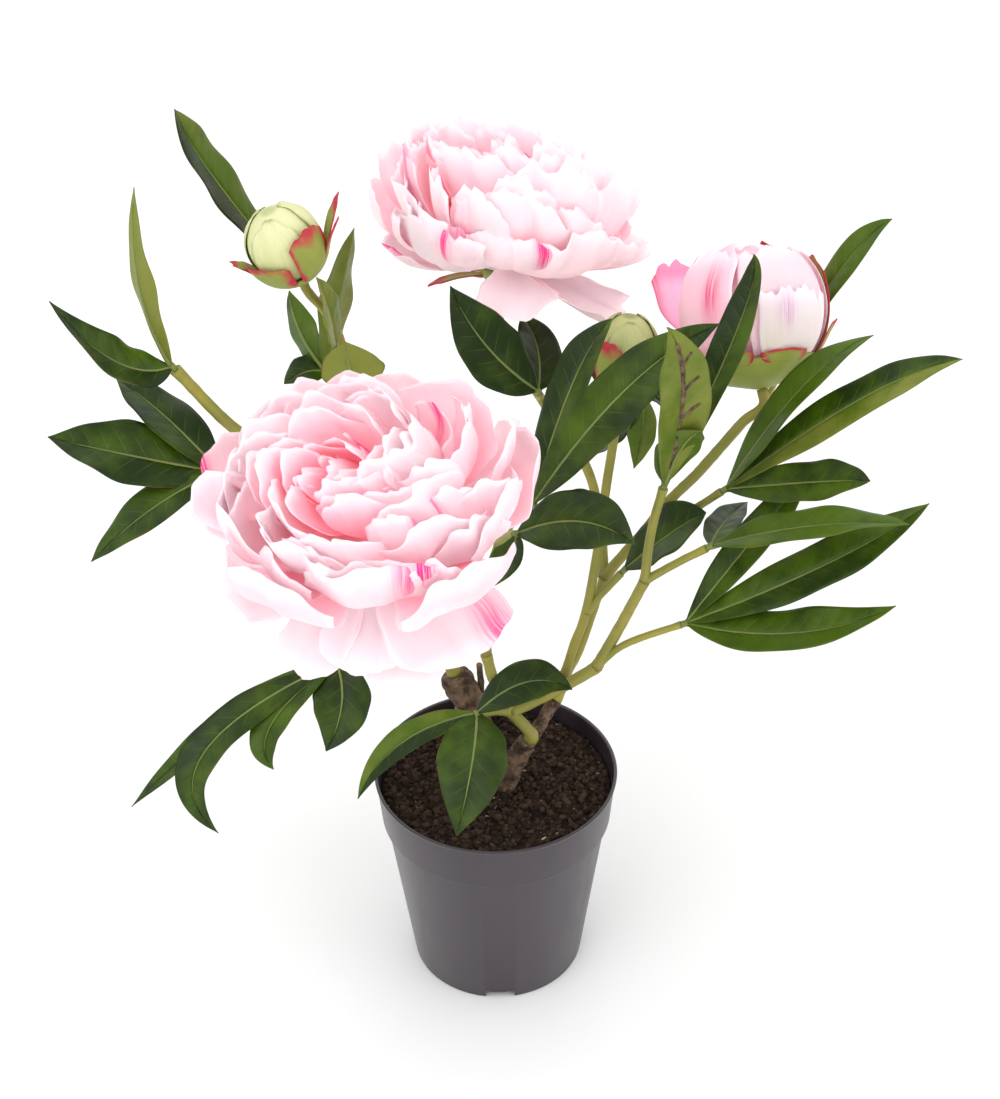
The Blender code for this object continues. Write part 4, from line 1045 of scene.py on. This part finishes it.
def bud_look(tree, pale, deep, edge):
    """Pale at the tip and greener below, with faint seams running up the petals."""
    share, across, tone = field(tree, "blade")
    seams = noise(tree, 1.5, 2.0, 0.5, combined(across * 9.0, share * 2.0, tone * 90.0))
    shade = (1.0 - share) * 0.6 + noise(tree, 60.0) * 0.35 + seams * 0.3
    surface = shade.step(0.3, 1.0).mix(pale, deep)
    surface = abs(across).step(0.84, 1.0, 0.0, 0.8).mix(surface, edge)
    return share.step(0.93, 1.0, 0.0, 0.6).mix(surface, edge), seams


def floor_look(tree):
    return noise(tree, 4.0, 2.0).mix(*[(grey, grey, grey, 1.0) for grey in FLOOR_GREYS]), None


def make_material(name, look, roughness, specular, strength, distance, *colours):
    """A material with a look, under its name in MATERIALS."""
    material = MATERIALS[name] = bpy.data.materials.new(name)
    material.use_nodes = True
    tree = material.node_tree
    shader = tree.nodes[SHADER]
    shader.inputs["Roughness"].default_value = roughness
    shader.inputs["Specular IOR Level"].default_value = specular
    surface, height = look(tree, *[colour(*one) for one in colours])
    surface.feed(shader, "Base Color")
    if height:
        inputs = {"Strength": strength, "Distance": distance, "Height": height}
        add(tree, "ShaderNodeBump", inputs).feed(shader, "Normal")


# The pieces


def made_piece(name, groups, replaced):
    """One object from groups of shapes, each with its material, that stands for CAD nodes."""
    points, faces, fields, slots = [], [], [], []
    count = 0
    for index, (_, shapes) in enumerate(groups):
        for shape_points, shape_faces, shape_fields in shapes:
            points.append(shape_points)
            fields.append(shape_fields)
            faces.extend([[corner + count for corner in face] for face in shape_faces])
            slots.extend([index] * len(shape_faces))
            count += len(shape_points)
    mesh = bpy.data.meshes.new(name)
    mesh.from_pydata((np.concatenate(points) * MM).tolist(), [], faces)
    fields = np.concatenate(fields).astype(np.float32)
    for attribute, columns in (("blade", fields[:, :3]), ("look", fields[:, 3:])):
        layer = mesh.attributes.new(attribute, "FLOAT_VECTOR", "POINT")
        layer.data.foreach_set("vector", columns.ravel())
    mesh.polygons.foreach_set("material_index", np.array(slots, np.int32))
    mesh.polygons.foreach_set("use_smooth", np.ones(len(slots), bool))
    for material, _ in groups:
        mesh.materials.append(MATERIALS[material])
    mesh.update()
    piece = bpy.data.objects.new(name, mesh)
    bpy.context.scene.collection.objects.link(piece)
    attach(piece, "root")
    if replaced:
        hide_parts(*replaced)
    return piece


def build_pot():
    sides = rounded(POT_UNDERSIDE + POT_OUTSIDE + POT_INSIDE, POT_EDGE)
    shape = revolved([(0, 0)] + sides + [(0, POT_FLOOR)], POT_TURNS)
    piece = made_piece("pot_shell", [("pot_plastic", [shape])], ["pot"])
    cutters = []
    for quarter in range(4):
        turn = NOTCH_TURN + 90 * quarter
        bpy.ops.mesh.primitive_cube_add(size=1.0)
        cutter = bpy.context.object
        cutter.scale = [side * MM for side in NOTCH_SIZE]
        cutter.rotation_euler = (0.0, 0.0, math.radians(turn))
        cutter.location = heading(turn) * NOTCH_RADIUS * MM
        cutters.append(cutter)
        hole = piece.modifiers.new("Notch", "BOOLEAN")
        hole.operation = "DIFFERENCE"
        hole.object = cutter
        hole.solver = "EXACT"
    bpy.context.view_layer.update()
    seen = piece.evaluated_get(bpy.context.evaluated_depsgraph_get())
    cut = bpy.data.meshes.new_from_object(seen)
    piece.modifiers.clear()
    piece.data = cut
    for cutter in cutters:
        bpy.data.objects.remove(cutter)
    cut.polygons.foreach_set("use_smooth", np.ones(len(cut.polygons), bool))
    cut.set_sharp_from_angle(angle=math.radians(POT_SHARP))


def soil_surface(x, y):
    """The height of the soil at a place."""
    spots = np.stack([x, y, np.zeros_like(x)], axis=-1)
    lumps = sum(high * wobble(spots, size, seed) for high, size, seed in SOIL_LUMPS)
    return SOIL_HEIGHT + lumps * np.clip((SOIL_EDGE - np.hypot(x, y)) / SOIL_FADE, 0.2, 1.0)


def build_soil():
    profile = [(0, SOIL_BOTTOM), (SOIL_FOOT, SOIL_BOTTOM)]
    profile += [(radius, SOIL_HEIGHT) for radius in np.linspace(SOIL_EDGE - 0.05, 0.0, SOIL_RINGS)]
    points, faces, fields = revolved(profile, SOIL_TURNS)
    top = points[:, 2] > SOIL_HEIGHT - 1
    points[top, 2] = soil_surface(points[top, 0], points[top, 1])
    made_piece("soil_bed", [("potting_soil", [(points, faces, fields)])], ["soil"])


def crumb(centre, size, stretch, random):
    """A small angular lump."""
    uneven = random.uniform(-CRUMB_UNEVEN, CRUMB_UNEVEN, size=(len(CRUMB_CORNERS), 1))
    points = CRUMB_CORNERS * (1 + uneven) * size * np.array([stretch, 1.0, CRUMB_HEIGHT])
    turn = random.uniform(0, 360)
    points = placed(points, (np.array(centre), heading(turn), heading(turn + 90), UP))
    return points, CRUMB_FACES, fields_of(len(points), 0.0, 0.0, random.uniform(0, 1))


def scattered(count, sizes, stretch, seed):
    """Crumbs strewn over the soil."""
    random = np.random.default_rng(seed)
    shapes = []
    for _ in range(count):
        radius = (SOIL_EDGE - 1.5) * math.sqrt(random.uniform())
        x, y, _ = heading(random.uniform(0, 360)) * radius
        size = random.uniform(*sizes) * random.uniform(0.5, 1.0)
        place = (x, y, soil_surface(x, y) + size * 0.2)
        shapes.append(crumb(place, size, random.uniform(1.0, stretch), random))
    return shapes


def build_crumbs():
    groups = [("soil_crumbs", scattered(*CRUMBS)), ("soil_flecks", scattered(*FLECKS))]
    made_piece("soil_crumbs", groups, [])


def build_plant():
    for name in WOOD:
        made_piece(name + "_bark", [("bark", wood_shapes(name))], [name])
    for name in STEMS:
        made_piece(name + "_green", [("stem_green", stem_shapes(name))], [name])
    for number, name in enumerate(LEAVES):
        groups = zip(("leaf_top", "leaf_rib", "bark"), leaf(name, 50 + 10 * number))
        made_piece(name + "_blades", [group for group in groups if group[1]], [name])


def build_blooms():
    for name, (stem, rings, seen, sepals, seed, stains, lean, ragged) in BLOOMS.items():
        where = end_frame(stem, "bloom", CALYX_HEIGHT + GAP)
        shapes = [revolved(rounded(BLOOM_CORE, 2.0), 36, where)]
        shapes += bloom_shapes(rings, seen, where, seed, stains, lean, ragged)
        made_piece(name + "_ruffles", [("petal_open", shapes)], [name + "_petals"])
        cups = calyx_shapes(end_frame(stem, "bloom"), sepals)
        made_piece(name + "_cup", [("calyx_green", cups)], [name + "_calyx"])


def build_half_open():
    where = end_frame("stems_back", "half_open")
    centre = GLOBE[1] + CUP
    shapes = [ball(GLOBE_CORE, centre - CUP_FLOOR - GAP, GLOBE_CORE_TOP, centre, where)]
    for number, (turn, inset, high, width) in enumerate(GLOBE_HEART):
        shapes.append(wrapped(where, GLOBE, turn, (HEART_LOW, high), width, inset, (1.2, 0.0),
                              20 + number, 0.75, (0.5, 0.9, 0.5), rows=20, ragged=2.2))
    for number, (turn, inset, high, width, pink, stain) in enumerate(GLOBE_WRAPS):
        shapes.append(wrapped(where, GLOBE, turn, (WRAP_LOW, high), width, inset, (0.7, 0.0),
                              number, pink, stain, rows=34, ragged=1.5))
    turn, inset, high, width = GLOBE_OUTER
    outer = wrapped(where, GLOBE, turn, (OUTER_LOW, high), width, inset, (0.6, 0.5), 12, 0.1,
                    (-0.3, 0.8, 0.9), rows=26, ragged=2.2)
    flared = petal(where, *OPEN_PETAL, 71, 0.3, (0.9, 0.8), 0.8)
    groups = [("petal_half_open", shapes), ("petal_lilac", [outer]), ("petal_rosy", [flared])]
    made_piece("bloom_half_open_ruffles", groups, ["bloom_half_open_petals"])
    cups = cup_and_sepals(GLOBE, HALF_OPEN_SEPALS, where)
    made_piece("bloom_half_open_cup", [("calyx_green", cups)], ["bloom_half_open_calyx"])


def build_buds():
    for name, (radii, stem, sepals, material) in BUDS.items():
        where = end_frame(stem, "bud")
        across, along = np.subtract(radii, BUD_CORE_INSET)
        shapes = [ball(across, along, along, radii[1] + CUP, where)]
        for number, (turn, high) in enumerate(BUD_WRAPS):
            shapes.append(wrapped(where, radii, turn, (WRAP_LOW, high), BUD_WRAP_WIDTH * radii[0],
                                  0.0, number=10 + number, ragged=0.4))
        made_piece(name + "_wraps", [(material, shapes)], [name + "_petals"])
        cups = cup_and_sepals(radii, sepals, where)
        made_piece(name + "_cup", [("calyx_green", cups)], [name + "_sepals"])


# The stage


def pose(right, up, back, place):
    """The matrix of an object with these axes at this place."""
    return Matrix([*np.transpose([right, up, back, place]).tolist(), (0, 0, 0, 1)])


def build_stage():
    bpy.ops.mesh.primitive_plane_add(size=FLOOR_SIZE, location=(0.0, 0.0, -FLOOR_DROP))
    floor = bpy.context.object
    floor.name = "floor"
    floor.data.materials.append(MATERIALS["floor"])
    world = bpy.data.worlds.new("studio")
    bpy.context.scene.world = world
    world.use_nodes = True
    background = world.node_tree.nodes["Background"]
    background.inputs["Color"].default_value = (1.0, 1.0, 1.0, 1.0)
    background.inputs["Strength"].default_value = WORLD_LIGHT
    for name, (place, size, power) in LIGHTS.items():
        light = bpy.data.lights.new(name, "AREA")
        light.size = size
        light.energy = power
        lamp = bpy.data.objects.new(name, light)
        bpy.context.scene.collection.objects.link(lamp)
        aim = unit(np.subtract(LIGHTS_AIM, place))
        across = unit(np.cross(aim, UP))
        lamp.matrix_world = pose(across, np.cross(across, aim), -aim, place)


def build_camera():
    data = bpy.data.cameras.new("camera")
    data.lens = CAMERA_LENS
    data.sensor_width = SENSOR
    camera = bpy.data.objects.new("camera", data)
    bpy.context.scene.collection.objects.link(camera)
    camera.matrix_world = pose(CAMERA_RIGHT, CAMERA_UP, CAMERA_BACK, CAMERA_PLACE)
    bpy.context.scene.camera = camera
    bpy.context.scene.view_settings.view_transform = "Standard"
    bpy.context.scene.cycles.diffuse_bounces = 24
    bpy.context.scene.cycles.max_bounces = 32


# Each look with its roughness, specular level, and its bump's strength and depth, then the
# materials that have it, each a list of colours
for *look, names in (
        (petal_look, 0.65, 0.2, 0.25, 0.0006, {
            "petal_open": [(222, 199, 205), (240, 225, 230), (255, 235, 240), (254, 172, 191),
                           (232, 56, 136), (238, 222, 227)],
            "petal_half_open": [(236, 216, 222), (236, 216, 222), (248, 204, 218),
                                (248, 186, 204), (228, 60, 120), (240, 224, 230)],
            "petal_rosy": [(244, 184, 212), (244, 186, 214), (240, 158, 196), (230, 124, 164),
                           (206, 46, 88), (234, 126, 166)],
            "petal_lilac": [(232, 217, 225), (232, 219, 227), (214, 212, 168), (200, 204, 134),
                            (200, 144, 180), (240, 227, 232)]}),
        (leaf_look, 0.38, 0.24, 0.6, 0.0008, {
            "leaf_top": [(27, 46, 5), (72, 98, 8), (124, 130, 52), (112, 130, 46), (120, 92, 50)]}),
        (rib_look, 0.5, 0.4, 0.2, 0.0003, {"leaf_rib": [(128, 138, 70), (100, 116, 56)]}),
        (stem_look, 0.5, 0.4, 0.3, 0.0005, {
            "stem_green": [(158, 150, 64), (132, 132, 56), (140, 118, 72), (120, 100, 60)]}),
        (bark_look, 0.88, 0.25, 0.9, 0.0018, {
            "bark": [(62, 46, 38), (128, 104, 84), (150, 132, 112)]}),
        (soil_look, 0.95, 0.15, 0.9, 0.0015, {"potting_soil": [(26, 20, 18), (72, 56, 46)]}),
        (crumb_look, 0.95, 0.15, 0.6, 0.0006, {
            "soil_crumbs": [(20, 15, 13), (84, 66, 54)],
            "soil_flecks": [(120, 100, 80), (205, 190, 165)]}),
        (pot_look, 0.36, 0.6, 0.18, 0.0003, {
            "pot_plastic": [(43, 35, 42), (53, 44, 52), (90, 86, 86)]}),
        (calyx_look, 0.55, 0.35, 0.3, 0.0005, {
            "calyx_green": [(126, 142, 58), (158, 164, 76), (186, 48, 62)]}),
        (bud_look, 0.5, 0.3, 0.5, 0.0010, {
            "bud_cream": [(224, 225, 174), (190, 200, 124), (164, 176, 104)],
            "bud_olive": [(190, 192, 132), (140, 146, 80), (116, 122, 66)]}),
        (floor_look, 0.9, 0.1, 0.0, 0.0, {"floor": []})):
    for name, colours in names.items():
        make_material(name, *look, *colours)

build_camera()
build_stage()
build_pot()
build_soil()
build_crumbs()
build_plant()
build_blooms()
build_half_open()
build_buds()
